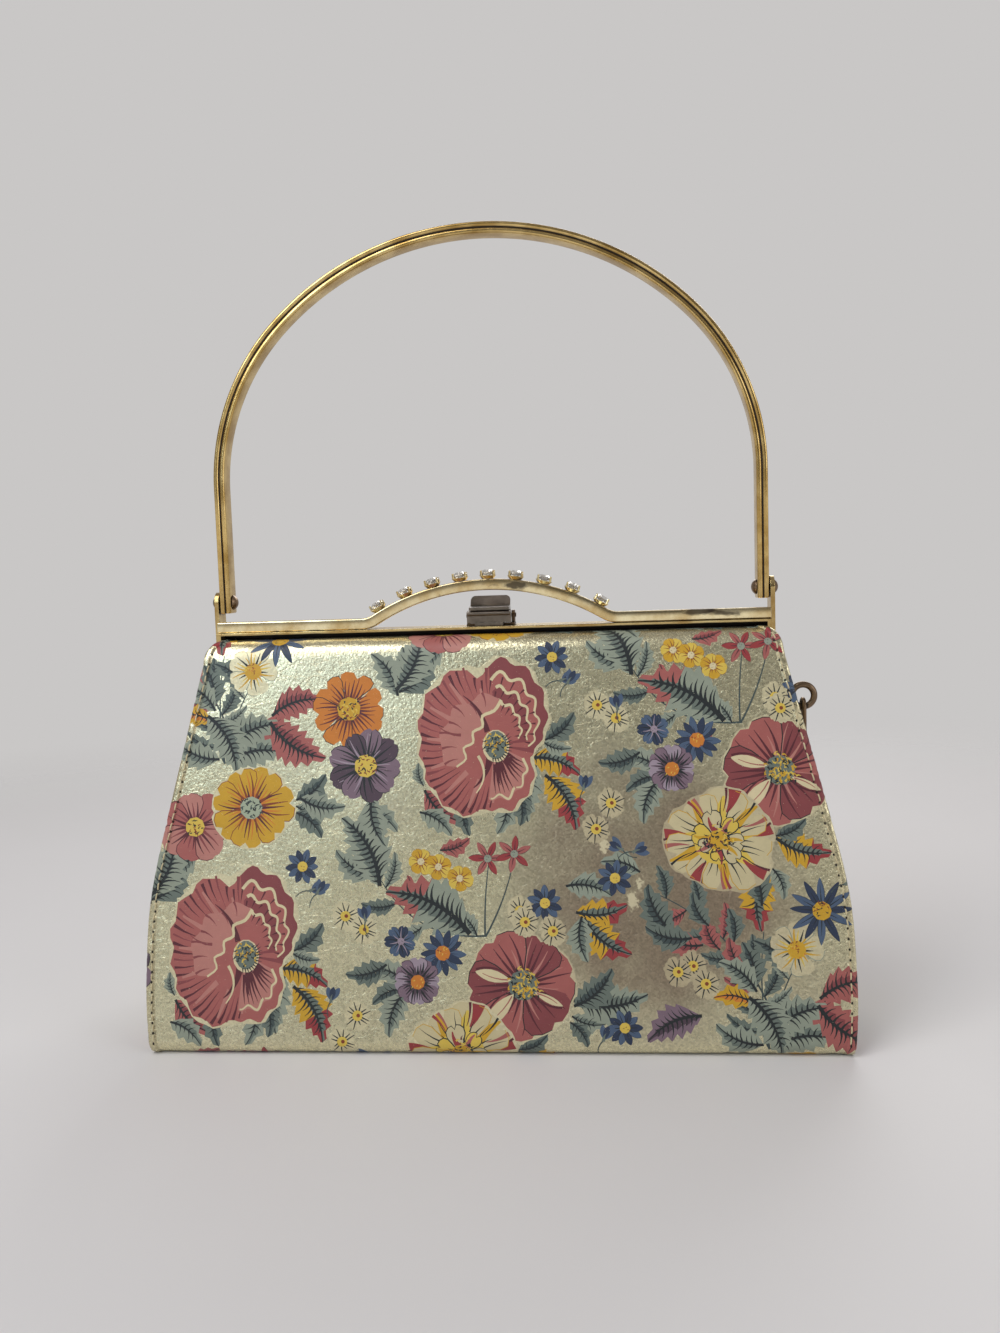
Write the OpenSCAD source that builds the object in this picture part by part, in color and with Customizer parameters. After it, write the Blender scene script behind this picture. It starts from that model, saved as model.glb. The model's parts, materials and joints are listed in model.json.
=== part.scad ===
// Top-handle frame handbag: a flared leather body on a two-jaw metal frame, with a rigid arched
// handle, a row of claw-set stones on the frame's arch, a thumb latch and a side ring.
// Millimetres, +Z up. The origin is under the middle of the base, and the front faces -Y.

/* [Leather body] */
// Depth of the base, front to back
base_depth = 84; // [70:1:100]
// Width of the body at its widest, low on the front
body_width = 252.4; // [236:0.2:262]
// Height at which the sides start to lean in
flare_height = 53; // [45:1:62]
// How far each side leans in per millimetre of height
side_taper = 0.237; // [0.21:0.001:0.25]
// Softness of the bend where the lean starts
flare_softness = 7; // [3:0.5:10]
// How much narrower each side is at the base than at the widest
base_pinch = 1.8; // [0:0.1:4]
// Height over which that pinch fades out
pinch_height = 26; // [16:1:36]
// Depth to which the front and back panels lean in at the top
mouth_depth = 32.68; // [30:0.02:34]
// Height of the top of the leather shoulder
shoulder_height = 147; // [140:0.5:155]
// Radius of the rolled shoulder
shoulder_radius = 8; // [6:0.5:9]
// How far the top corners of the panels round in
corner_inset = 5; // [4:0.5:7]
// Height over which the top corners round in
corner_height = 8; // [6:0.5:10]
// Radius of the fold into the base
base_fold_radius = 4.4; // [3.5:0.1:6]
// Thickness of a stiffened leather panel
panel_thickness = 2.4; // [1.6:0.1:2.8]
// Width of the edge binding seen from the front
binding_width = 3.2; // [2.4:0.1:4.5]
// How far the binding stands proud of the panel
binding_proud = 0.5; // [0.2:0.1:1]
// How deep the binding wraps into the side
binding_depth = 3.9; // [3:0.1:4.2]

/* [Gussets and lining] */
// Thickness of a gusset
gusset_thickness = 1.4; // [1:0.1:1.7]
// Depth of the soft inward fold of a gusset
gusset_fold = 6; // [2:0.5:6]
// How far a gusset's edges beside the panels end below the shoulder
gusset_ear_drop = 8; // [7:0.5:11]
// How far the scoop at the frame legs ends below the gusset's edges
gusset_scoop_depth = 6; // [5:0.5:8]
// Thickness of the lining
lining_thickness = 0.8; // [0.5:0.1:1.2]
// How far the lining's ends hang inside the sides
lining_side_gap = 8.5; // [8.5:0.5:14]
// How far the lining's mouth lies below the shoulder
lining_drop = 6; // [5:0.5:11]

/* [Frame] */
// How far the jaw's legs lie inside the top corners of the leather
jaw_inset = 2.6; // [2.4:0.05:3]
// Thickness of the jaw legs and handle posts
leg_thickness = 1.6; // [1.2:0.1:1.8]
// Depth of a jaw's leather channel
channel_depth = 8.6; // [7.5:0.1:9]
// Thickness of the channel's sheet metal
channel_wall = 1; // [0.8:0.1:1.2]
// Room left above the leather in the channel's mouth
channel_mouth = 1.8; // [1.2:0.1:2.4]
// Gap between the closed jaws
jaw_gap = 0.8; // [0.6:0.1:1.2]
// How far the frame hinge lies below the shoulder
hinge_drop = 18; // [17:0.5:19]
// Radius of the frame hinge rivet
hinge_pin_radius = 1.5; // [1:0.1:1.8]
// Radius of the eye at the foot of a jaw leg
leg_eye_radius = 3.2; // [3:0.1:3.4]
// Height of the front bar's section
bar_height = 4.1; // [3:0.1:4.5]
// Depth of the front bar's section
bar_depth = 4.6; // [3.6:0.1:4.8]
// Bevel on the bar's long edges
bar_bevel = 0.7; // [0.4:0.1:1]
// Half span of the bar's arch
arch_half_span = 48; // [44:0.5:56]
// Rise of the bar's arch
arch_rise = 13.4; // [12.4:0.2:16]
// Radius of the sweep at each foot of the arch
arch_foot_radius = 10; // [6:0.5:14]

/* [Handle] */
// How far the handle's pivot lies above the shoulder
pivot_rise = 14.3; // [13.5:0.1:17]
// Rise of the handle's crown above its pivot
handle_rise = 135.7; // [125:0.1:149]
// Width of the handle's section across its bend
handle_bar_width = 4.2; // [3.6:0.1:4.6]
// Depth of the handle's section, front to back
handle_bar_depth = 8; // [7:0.1:8.4]
// Radius of the handle's shoulders, at the outside
handle_shoulder_radius = 85; // [80:1:90]
// Sweep of each of the handle's shoulders
handle_shoulder_sweep = 45; // [40:1:50]
// Radius of the eye at the foot of each handle leg
handle_eye_radius = 4.4; // [4.3:0.1:4.8]
// How far the eye's faces lie inside the leg's faces
handle_eye_step = 0.15; // [0.1:0.05:0.3]
// Depth of the groove along the handle's faces
handle_groove = 0.6; // [0.3:0.1:0.8]
// Radius of a handle rivet
handle_pin_radius = 1.5; // [1.2:0.1:1.8]
// Radius of the rivet's domed heads
handle_head_radius = 2.8; // [2.4:0.1:3]
// Height of the rivet's domed heads
handle_head_height = 1.7; // [1.2:0.1:2]

/* [Stones] */
// Number of stones along the arch
stone_count = 9; // [7:2:9]
// Distance between stones
stone_pitch = 10; // [9:0.1:10.4]
// Radius of a stone's girdle
stone_radius = 2.7; // [2.2:0.1:2.9]
// Height of a stone's cup
cup_height = 2.6; // [2.2:0.1:3]
// Wall of a stone's cup
cup_wall = 0.45; // [0.35:0.05:0.6]
// Radius of a cup's claws
claw_radius = 0.45; // [0.35:0.05:0.5]

/* [Latch] */
// Width of the latch lever
latch_width = 15; // [14:0.5:18]
// Height of the thumb plate above the lever's pin
thumb_rise = 7.2; // [6.4:0.1:7.6]
// How far the thumb plate leans back at its top
thumb_lean = 2.6; // [1.6:0.1:3]
// Thickness of the lever's plate
lever_thickness = 1.1; // [0.8:0.1:1.3]
// Radius of the thumb plate's top corners
thumb_corner = 1.8; // [1:0.1:2.4]
// Radius of the lever's pin
latch_pin_radius = 0.8; // [0.6:0.05:1]
// Radius of the lever's knuckle
knuckle_radius = 1.9; // [1.7:0.1:2.1]
// Height of the catch block on the front jaw
catch_height = 4.1; // [3.4:0.1:4.3]
// Width of the catch block
catch_width = 16.4; // [14:0.2:20]
// Depth of the catch block
catch_depth = 3.8; // [3:0.1:4.2]
// Height of the catch's foot
catch_foot_height = 1.3; // [1:0.1:1.5]

/* [Side ring] */
// Outer radius of the side ring
ring_radius = 5.3; // [4.8:0.1:5.6]
// Radius of the ring's section
ring_section = 1.2; // [0.9:0.05:1.3]
// Radius of the sleeve that closes the ring and turns in its staple
ring_sleeve_radius = 1.4; // [1.35:0.05:1.6]
// Length of that sleeve
ring_sleeve_length = 2; // [1.6:0.1:2.2]
// How far the ring's middle lies below the frame hinge
ring_drop = 8.5; // [7:0.5:10]
// How far the ring's middle stands off the side of the body
ring_standoff = 5.4; // [5.2:0.1:6.8]
// Radius of the staple's wire
staple_wire = 0.8; // [0.6:0.05:0.9]
// How far below the ring's middle the staple turns into its plate
staple_drop = 16.5; // [14.5:0.5:20]

/* [Clearances] */
// Gap between leather pieces that are sewn or glued together
seam_gap = 0.3; // [0.2:0.05:0.4]
// Gap between metal pieces that move past each other
running_gap = 0.4; // [0.3:0.05:0.5]
// Radial clearance of a pin in its bore
pin_clearance = 0.05; // [0.03:0.01:0.08]
// Gap between soldered or seated metal pieces
seat_gap = 0.05; // [0.02:0.01:0.1]

/* [Hidden] */
$fn = 48;
panel_color = "burlywood";
binding_color = "tan";
lining_color = "saddlebrown";
gold_color = "gold";
bronze_color = "peru";
stone_color = "aliceblue";

// Half width of the body at a height, with the pinch at the base and the rounded top corners
function flare(z) = flare_softness * ln(1 + exp((z - flare_height) / flare_softness));
function pinch(z) = base_pinch * pow(max(0, 1 - z / pinch_height), 2);
function side_half(z) = body_width / 2 - side_taper * flare(z) - pinch(z);
corner_start = shoulder_height - corner_height;
function corner(z) = let (u = min(1, max(0, (z - corner_start) / corner_height)))
    corner_inset * (1 - sqrt(1 - u * u));
function panel_half(z) = side_half(min(z, corner_start)) - corner(z);

// Levels of the frame, from the leather's shoulder
flange_under = shoulder_height - panel_thickness;
channel_floor = flange_under - seam_gap - channel_wall;
channel_top = shoulder_height + channel_mouth + channel_wall;
bar_under = channel_top + seat_gap;
bar_middle = bar_under + bar_height / 2;
hinge_height = shoulder_height - hinge_drop;
pivot_height = shoulder_height + pivot_rise;
handle_top = pivot_height + handle_rise;
jaw_face = jaw_gap / 2;
channel_lip = jaw_face + channel_depth;
bar_y = channel_lip - bar_depth / 2 - channel_wall;

// Stack of plates at each end of the frame
jaw_half = side_half(corner_start) - jaw_inset;
leg_inner = jaw_half - leg_thickness;
leg_heel = 2;
post_inner = jaw_half + running_gap;
post_outer = post_inner + leg_thickness;
post_half_width = 4;
handle_half = jaw_half;
hinge_head_height = 0.5;
hinge_head_overhang = 0.8;
hinge_head_radius = hinge_pin_radius + hinge_head_overhang;

// Panel profile: fold under the base, lean, shoulder, and flange into the channel
panel_lean = atan((base_depth - mouth_depth) / 2 / (shoulder_height - base_fold_radius));
fold_start_y = -(base_depth / 2 - base_fold_radius);
lean_start = [fold_start_y - base_fold_radius * cos(panel_lean),
              base_fold_radius * (1 + sin(panel_lean))];
lean_end_z = shoulder_height - shoulder_radius * (1 - sin(panel_lean));
lean_end = [lean_start[0] + (lean_end_z - lean_start[1]) * tan(panel_lean), lean_end_z];
shoulder_middle = [lean_end[0] + shoulder_radius * cos(panel_lean), shoulder_height - shoulder_radius];
flange_end_y = -(jaw_face + channel_wall + 2 * seam_gap);
fold_steps = 5;
lean_steps = 16;
shoulder_steps = 8;

// A point of the profile is [y, z, normal y, normal z]; the sweep turns from -Y up to +Y
function arc_point(middle, r, turn) =
    [middle[0] - r * sin(turn), middle[1] - r * cos(turn), -sin(turn), -cos(turn)];
function fold_profile() = [for (i = [0:fold_steps])
    arc_point([fold_start_y, base_fold_radius], base_fold_radius, (90 + panel_lean) * i / fold_steps)];
function lean_profile() = [for (i = [1:lean_steps - 1]) let (t = i / lean_steps)
    [lean_start[0] + (lean_end[0] - lean_start[0]) * t, lean_start[1] + (lean_end[1] - lean_start[1]) * t,
     -cos(panel_lean), sin(panel_lean)]];
function shoulder_profile() = [for (i = [0:shoulder_steps])
    arc_point(shoulder_middle, shoulder_radius, 90 + panel_lean + (90 - panel_lean) * i / shoulder_steps)];
function panel_profile() = concat(fold_profile(), lean_profile(), shoulder_profile(),
    [[flange_end_y, shoulder_height, 0, 1]]);

// The front panel bends at the frame hinge, so it is parted there: its shoulder follows the front jaw
part_z = hinge_height - leg_eye_radius - running_gap;
part_margin = 1;
function lean_point(z) = [lean_y(z), z, -cos(panel_lean), sin(panel_lean)];
function wall_profile() = concat([for (p = panel_profile()) if (p[1] < part_z - part_margin) p],
    [lean_point(part_z - seam_gap / 2)]);
function jaw_profile() = concat([lean_point(part_z + seam_gap / 2)],
    [for (p = panel_profile()) if (p[1] > part_z + part_margin) p]);

// Outer face of the front panel at a height on its lean, and where the gusset starts behind it
function lean_y(z) = lean_start[0] + (z - lean_start[1]) * tan(panel_lean);
function gusset_reach(z) = min(-fold_start_y - seam_gap,
    -lean_y(max(z, lean_start[1])) - (binding_depth + seam_gap) / cos(panel_lean));
function ease(a, b, v) = let (u = min(1, max(0, (v - a) / (b - a)))) u * u * (3 - 2 * u);
fold_rise = [0.155 * hinge_height, 0.7 * hinge_height];
fold_fade = [hinge_height - 25, hinge_height - 2];
function fold_at(z) = gusset_fold * ease(fold_rise[0], fold_rise[1], z)
    * (1 - ease(fold_fade[0], fold_fade[1], z));

// Handle: straight legs, two shoulder arcs and one crown arc, all tangent
shoulder_offset = handle_half - handle_shoulder_radius;
crown_extra = shoulder_offset / cos(handle_shoulder_sweep);
crown_radius = handle_shoulder_radius + crown_extra;
crown_middle_z = handle_top - crown_radius;
shoulder_middle_z = crown_middle_z + crown_extra * sin(handle_shoulder_sweep);

// Arch of the front bar: a crown arc between two foot arcs, all tangent
arch_sweep = 2 * atan(arch_rise / arch_half_span);
arch_radius = arch_half_span / sin(arch_sweep) - arch_foot_radius;
arch_middle_z = bar_middle + arch_rise - arch_radius;
arch_foot_z = bar_middle + arch_foot_radius;

// Latch levels
catch_foot_under = channel_top + seat_gap;
catch_under = catch_foot_under + catch_foot_height;
catch_top = catch_under + catch_height;
catch_setback = 2.6;
catch_back_y = -(jaw_face + catch_setback);
catch_lip = 0.75;
catch_foot_share = 0.64;
catch_foot_step = 0.3;
nose_under = catch_top + running_gap;
nose_share = 0.7;
nose_root = 2;
thumb_root = 0.4;
latch_pin_setback = 3.8;
latch_pin_rise = 3.6;
latch_pin_y = jaw_face + latch_pin_setback;
latch_pin_z = channel_top + latch_pin_rise;
pin_end = 0.4;
ear_thickness = 1.2;
ear_inner = latch_width / 2 + running_gap;
bracket_floor = 0.8;
spring_half = 2.4;
spring_turns = 6;
spring_wire = spring_half / spring_turns;

// Claws and facets of the stones
claw_count = 4;
stone_facets = 8;
table_share = 0.55;
crown_height = 0.9;
pavilion_height = 1.6;
culet_radius = 0.3;
cup_floor = 0.5;
cup_foot_radius = stone_radius * 0.8;
stone_seat = cup_height - crown_height * 0.2;
gallery_height = cup_height * 0.5;
claw_foot = cup_height * 0.38;
claw_taper = 0.8;
claw_top = stone_seat + crown_height * 0.75;

// Side ring: the staple's bow passes through the ring over its lowest point
ring_height = hinge_height - ring_drop;
ring_offset = side_half(ring_height) + ring_standoff;
staple_height = ring_height - staple_drop;
ring_middle_radius = ring_radius - ring_section;
ring_low_z = ring_height - ring_middle_radius;
staple_half = staple_wire + ring_sleeve_radius + running_gap;
bow_lift = 0.2;
staple_bow_z = ring_low_z + bow_lift;
staple_turn_radius = 3;
plate_thickness = 1;
plate_half_height = 3;
plate_standoff = 1.5;
plate_x = side_half(staple_height) - fold_at(staple_height) + plate_standoff;

function numbered(name, count) = [for (i = [1:count]) str(name, "_", i)];

// A closed solid through a list of rings. Each ring runs out along one face and back along the other,
// so its ends close with a strip between the points that face each other.
function split_quad(a, b, c, d) = [[a, b, c], [a, c, d]];
module loft(rings) {
    n = len(rings[0]);
    last = len(rings) - 1;
    sides = [for (j = [0:last - 1], i = [0:n - 1])
        each split_quad(j * n + i, j * n + (i + 1) % n, (j + 1) * n + (i + 1) % n, (j + 1) * n + i)];
    first_cap = [for (i = [0:n / 2 - 2]) each split_quad(n - 1 - i, n - 2 - i, i + 1, i)];
    last_cap = [for (i = [0:n / 2 - 2])
        each split_quad(last * n + i, last * n + i + 1, last * n + n - 2 - i, last * n + n - 1 - i)];
    polyhedron(points = [for (ring = rings) each ring], faces = concat(first_cap, sides, last_cap));
}

// A point beside the panel's outer face: x across, depth inwards along the face's normal
function beside(p, x, depth) = [x, p[0] - p[2] * depth, p[1] - p[3] * depth];

module panel(profile) {
    rings = [for (p = profile) let (w = panel_half(p[1]) - binding_width - seam_gap)
        [beside(p, -w, 0), beside(p, -w, panel_thickness), beside(p, w, panel_thickness), beside(p, w, 0)]];
    loft(rings);
}

module binding() {
    round = binding_proud * 0.6;
    rings = [for (p = panel_profile()) let (
            out = panel_half(p[1]),
            inner = out - binding_width,
            proud = min(binding_proud, p[1]),
            depth = p[1] > corner_start ? panel_thickness : binding_depth)
        [beside(p, inner, 0), beside(p, inner, depth), beside(p, out, depth), beside(p, out, 0),
         beside(p, out - round, -proud), beside(p, inner + round, -proud)]];
    loft(rings);
}

gusset_rows = 20;
gusset_columns = 12;
gusset_floor = seam_gap;
gusset_ear_height = shoulder_height - gusset_ear_drop;
gusset_scoop_height = gusset_ear_height - gusset_scoop_depth;
scoop_start = post_half_width + 2;
scoop_end = post_half_width + 7;

// A point of the gusset: t runs from -1 at the front to 1 at the back, v from 0 at the base to 1
function gusset_top(t) = gusset_scoop_height + (gusset_ear_height - gusset_scoop_height)
    * ease(scoop_start, scoop_end, abs(t) * gusset_reach(gusset_ear_height));
function gusset_point(t, v, inset) = let (z = gusset_floor + (gusset_top(t) - gusset_floor) * v)
    [side_half(z) - fold_at(z) * (1 - t * t) - inset, t * gusset_reach(z), z];
function gusset_ring(v) = concat(
    [for (i = [0:gusset_columns]) gusset_point(2 * i / gusset_columns - 1, v, 0)],
    [for (i = [gusset_columns:-1:0]) gusset_point(2 * i / gusset_columns - 1, v, gusset_thickness)]);

module gusset() {
    loft([for (j = [gusset_rows:-1:0]) gusset_ring(j / gusset_rows)]);
}

lining_rows = 14;
lining_corner = 3;
lining_floor = panel_thickness + seam_gap;
lining_clearance = panel_thickness + 2 * seam_gap;

function lining_ring(z, inset) = let (
        w = side_half(z) - lining_side_gap - inset,
        wall = -lean_y(max(z, lean_start[1])) - lining_clearance / cos(panel_lean),
        d = min(wall, z - lining_floor - fold_start_y) - inset,
        c = lining_corner)
    [[c - w, -d, z], [-w, c - d, z], [-w, d - c, z], [c - w, d, z],
     [w - c, d, z], [w, d - c, z], [w, c - d, z], [w - c, -d, z]];

module lining_bag() {
    top = min(shoulder_height - lining_drop, channel_floor - seam_gap);
    step = (top - lining_floor) / lining_rows;
    inner_floor = lining_floor + lining_thickness;
    outside = [for (j = [0:lining_rows]) lining_ring(lining_floor + step * j, 0)];
    inside = [for (j = [lining_rows:-1:0])
        lining_ring(max(inner_floor, lining_floor + step * j), lining_thickness)];
    loft(concat(outside, inside));
}

module base_board() {
    half_x = side_half(0) - gusset_thickness - seam_gap;
    half_y = -fold_start_y - seam_gap;
    linear_extrude(panel_thickness) square([2 * half_x, 2 * half_y], center = true);
}

// Turns a drawing of [y, z] points into a plate of the given thickness that starts at x
module plate_at(x, thickness) {
    translate([x, 0, 0]) rotate([90, 0, 90]) linear_extrude(thickness) children();
}

module rod_along_x(x0, x1, r, y, z) {
    translate([x0, y, z]) rotate([0, 90, 0]) cylinder(h = x1 - x0, r = r);
}

// C-shaped sheet-metal section that grips the leather's flange; it opens towards -Y
module channel_section() {
    difference() {
        translate([-channel_lip, channel_floor]) square([channel_depth, channel_top - channel_floor]);
        translate([-channel_lip - channel_wall, channel_floor + channel_wall])
            square([channel_depth, channel_top - channel_floor - 2 * channel_wall]);
    }
}

module front_leg_outline() {
    translate([0, hinge_height]) circle(leg_eye_radius);
    polygon([[-channel_lip, channel_top], [-channel_lip, channel_floor - leg_heel],
             [-leg_eye_radius, hinge_height], [leg_eye_radius * 0.8, hinge_height + leg_eye_radius * 0.6],
             [-jaw_face, channel_floor], [-jaw_face, channel_top]]);
}

module front_jaw_body() {
    plate_at(-leg_inner, 2 * leg_inner) channel_section();
    for (side = [-1, 1])
        difference() {
            plate_at(side > 0 ? leg_inner : -jaw_half, leg_thickness) front_leg_outline();
            rod_along_x(-post_outer, post_outer, hinge_pin_radius + pin_clearance, 0, hinge_height);
        }
}

module post_outline() {
    translate([0, hinge_height]) circle(post_half_width);
    translate([-post_half_width, hinge_height])
        square([2 * post_half_width, pivot_height - hinge_height]);
    translate([0, pivot_height]) circle(post_half_width);
    translate([jaw_face, channel_floor]) square([channel_depth, channel_top - channel_floor]);
}

module rear_jaw_body() {
    plate_at(-post_inner, 2 * post_inner) mirror([1, 0]) channel_section();
    for (side = [-1, 1])
        difference() {
            plate_at(side > 0 ? post_inner : -post_outer, leg_thickness) post_outline();
            rod_along_x(-post_outer - 1, post_outer + 1, hinge_pin_radius + pin_clearance, 0, hinge_height);
            rod_along_x(-post_outer - 1, post_outer + 1, handle_pin_radius + pin_clearance, 0, pivot_height);
        }
}

// Line of the front bar from its middle to its end, as [x, z, slope]: crown arc, foot arc, straight end
crown_steps = 20;
foot_steps = 8;
function bar_line() = concat(
    [for (i = [0:crown_steps]) let (a = arch_sweep * i / crown_steps)
        [arch_radius * sin(a), arch_middle_z + arch_radius * cos(a), -a]],
    [for (i = [foot_steps - 1:-1:0]) let (a = arch_sweep * i / foot_steps)
        [arch_half_span - arch_foot_radius * sin(a), arch_foot_z - arch_foot_radius * cos(a), -a]],
    [[jaw_half, bar_middle, 0]]);
// Both halves of a line that starts in the middle, and a point beside it: r across its bend, y in depth
function both_halves(line) =
    concat([for (p = reversed(line)) if (p[0] > 0) [-p[0], p[1], -p[2]]], line);
function line_corner(p, r, y) = [p[0] - r * sin(p[2]), y, p[1] + r * cos(p[2])];

// Bevelled section of the bar
function bar_ring(p) = let (h = bar_height / 2, d = bar_depth / 2, b = bar_bevel)
    [for (c = [[-h, b - d], [b - h, -d], [h - b, -d], [h, b - d],
               [h, d - b], [h - b, d], [b - h, d], [-h, d - b]]) line_corner(p, c[0], c[1] - bar_y)];

module front_bar() {
    loft([for (p = both_halves(bar_line())) bar_ring(p)]);
}

// Hinge rivet on the right-hand side: a head inside the jaw's leg, a low head outside the post
module hinge_rivet() {
    rod_along_x(leg_inner - running_gap / 2 - hinge_head_height, post_outer + hinge_head_height,
                hinge_pin_radius, 0, hinge_height);
    rod_along_x(leg_inner - running_gap / 2 - hinge_head_height, leg_inner - running_gap / 2,
                hinge_head_radius, 0, hinge_height);
    rod_along_x(post_outer, post_outer + hinge_head_height, hinge_head_radius, 0, hinge_height);
}

// Line of the handle from its crown's middle down one leg, as [x, z, slope]
bow_crown_steps = 18;
bow_shoulder_steps = 14;
bow_half = handle_bar_width / 2;
handle_bevel = bow_half * 0.4;
crown_half_sweep = 90 - handle_shoulder_sweep;
function bow_arc(x, z, r, a) = [x + r * sin(a), z + r * cos(a), -a];
function handle_line() = concat(
    [for (i = [0:bow_crown_steps])
        bow_arc(0, crown_middle_z, crown_radius - bow_half, crown_half_sweep * i / bow_crown_steps)],
    [for (i = [1:bow_shoulder_steps])
        bow_arc(shoulder_offset, shoulder_middle_z, handle_shoulder_radius - bow_half,
                crown_half_sweep + handle_shoulder_sweep * i / bow_shoulder_steps)],
    [[handle_half - bow_half, pivot_height, -90]]);

// Section of the handle: bevelled bar with a groove along its front and back faces
function handle_ring(p) = let (w = bow_half, d = handle_bar_depth / 2, b = handle_bevel, g = handle_groove)
    [for (c = [[-w, b - d], [b - w, -d], [-g, -d], [0, g - d], [g, -d], [w - b, -d], [w, b - d],
               [w, d - b], [w - b, d], [g, d], [0, d - g], [-g, d], [b - w, d], [-w, d - b]])
        line_corner(p, c[0], c[1])];

module handle_bow() {
    eye_half = bow_half - handle_eye_step;
    leg_x = handle_half - bow_half;
    difference() {
        union() {
            loft([for (p = both_halves(handle_line())) handle_ring(p)]);
            for (x = [-leg_x, leg_x])
                rod_along_x(x - eye_half, x + eye_half, handle_eye_radius, 0, pivot_height);
        }
        rod_along_x(-post_outer, -leg_x + 2 * bow_half, handle_pin_radius + pin_clearance, 0, pivot_height);
        rod_along_x(leg_x - 2 * bow_half, post_outer, handle_pin_radius + pin_clearance, 0, pivot_height);
    }
}

// A domed rivet head that stands on x and points along +X or -X
module domed_head(x, direction) {
    dome = (pow(handle_head_radius, 2) + pow(handle_head_height, 2)) / (2 * handle_head_height);
    translate([x, 0, pivot_height]) rotate([0, 90 * direction, 0]) intersection() {
        translate([0, 0, handle_head_height - dome]) sphere(dome);
        cylinder(h = handle_head_height, r = handle_head_radius);
    }
}

module handle_rivet() {
    inner = handle_half - handle_bar_width - running_gap / 2;
    rod_along_x(inner, post_outer, handle_pin_radius, 0, pivot_height);
    domed_head(inner, -1);
    domed_head(post_outer, 1);
}

// Catch on the front jaw: a foot, a block and the rolled lip that the lever's nose rests over
module catch_block() {
    front_y = catch_back_y - catch_depth;
    foot_width = catch_width * catch_foot_share;
    plate_at(-catch_width / 2, catch_width) {
        translate([front_y, catch_under]) square([catch_depth, catch_height]);
        translate([front_y, catch_top - catch_lip]) circle(catch_lip);
    }
    plate_at(-foot_width / 2, foot_width)
        translate([front_y - catch_foot_step, catch_foot_under]) square([catch_depth, catch_foot_height]);
}

// Bracket on the rear jaw: a floor and two ears that hold the lever's pin
module bracket() {
    outer = ear_inner + ear_thickness;
    depth = channel_depth - channel_wall;
    difference() {
        union() {
            translate([-outer, jaw_face, channel_top + seat_gap]) cube([2 * outer, depth, bracket_floor]);
            for (x = [-outer, ear_inner])
                plate_at(x, ear_thickness) {
                    translate([latch_pin_y, latch_pin_z]) circle(knuckle_radius);
                    translate([latch_pin_y - knuckle_radius, channel_top + seat_gap])
                        square([2 * knuckle_radius, latch_pin_z - channel_top - seat_gap]);
                }
        }
        rod_along_x(-outer - 1, outer + 1, latch_pin_radius + pin_clearance, latch_pin_y, latch_pin_z);
    }
}

module lever_pin() {
    half = ear_inner + ear_thickness + pin_end;
    rod_along_x(-half, half, latch_pin_radius, latch_pin_y, latch_pin_z);
}

// Close-wound return spring on the pin, between the lever's knuckles
module return_spring() {
    translate([-spring_half, latch_pin_y, latch_pin_z]) rotate([0, 90, 0])
        for (i = [0:spring_turns - 1])
            translate([0, 0, spring_wire * (2 * i + 1)])
                rotate_extrude() translate([latch_pin_radius + pin_clearance + spring_wire, 0])
                    circle(spring_wire - seat_gap / 2);
}

// The lever seen from the front: straight sides and rounded top corners
module thumb_outline(top) {
    side = latch_width / 2 - thumb_corner;
    foot = latch_pin_z - 2 * knuckle_radius;
    translate([-latch_width / 2, foot]) square([latch_width, top - thumb_corner - foot]);
    translate([-side, foot]) square([2 * side, top - foot]);
    for (x = [-side, side])
        translate([x, top - thumb_corner]) circle(thumb_corner);
}

// Lever: a nose that reaches over the catch, and a thumb plate that leans back, on two knuckles
module lever() {
    t = lever_thickness;
    nose_y = catch_back_y - catch_depth * nose_share;
    root_y = latch_pin_y - knuckle_radius;
    thumb_y = root_y + thumb_lean;
    thumb_z = latch_pin_z + thumb_rise;
    difference() {
        union() {
            intersection() {
                plate_at(-latch_width / 2, latch_width)
                    polygon([[nose_y, nose_under], [root_y - nose_root, nose_under],
                             [root_y + thumb_root, latch_pin_z], [latch_pin_y, latch_pin_z + knuckle_radius],
                             [root_y + thumb_root, nose_under + t], [thumb_y, thumb_z],
                             [thumb_y - t, thumb_z + t / 3],
                             [root_y - 1.5 * t, nose_under + 1.5 * t], [nose_y, nose_under + t]]);
                translate([0, channel_depth, 0]) rotate([90, 0, 0])
                    linear_extrude(2 * channel_depth) thumb_outline(thumb_z + t / 3);
            }
            rod_along_x(-latch_width / 2, latch_width / 2, knuckle_radius, latch_pin_y, latch_pin_z);
        }
        rod_along_x(-latch_width, latch_width, latch_pin_radius + pin_clearance, latch_pin_y, latch_pin_z);
        rod_along_x(-spring_half - running_gap, spring_half + running_gap, knuckle_radius + running_gap,
                    latch_pin_y, latch_pin_z);
    }
}

// Claw cup that stands on z = 0: a low gallery that shows the stone, and four claws that hold its girdle
module claw_cup() {
    rim = stone_radius + seat_gap;
    foot = cup_foot_radius;
    rotate_extrude()
        polygon([[0, 0], [foot, 0], [rim + claw_radius, gallery_height], [rim - cup_wall / 2, gallery_height],
                 [foot - cup_wall, cup_floor], [0, cup_floor]]);
    for (i = [0:claw_count - 1])
        rotate([0, 0, 45 + 360 * i / claw_count]) translate([rim + claw_radius, 0, claw_foot])
            cylinder(h = claw_top - claw_foot, r1 = claw_radius, r2 = claw_radius * claw_taper, $fn = 16);
}

// Faceted stone whose corners rest against the claws
module cut_stone() {
    translate([0, 0, stone_seat]) {
        cylinder(h = crown_height, r1 = stone_radius, r2 = stone_radius * table_share, $fn = stone_facets);
        translate([0, 0, -pavilion_height])
            cylinder(h = pavilion_height, r1 = culet_radius, r2 = stone_radius, $fn = stone_facets);
    }
}

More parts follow.
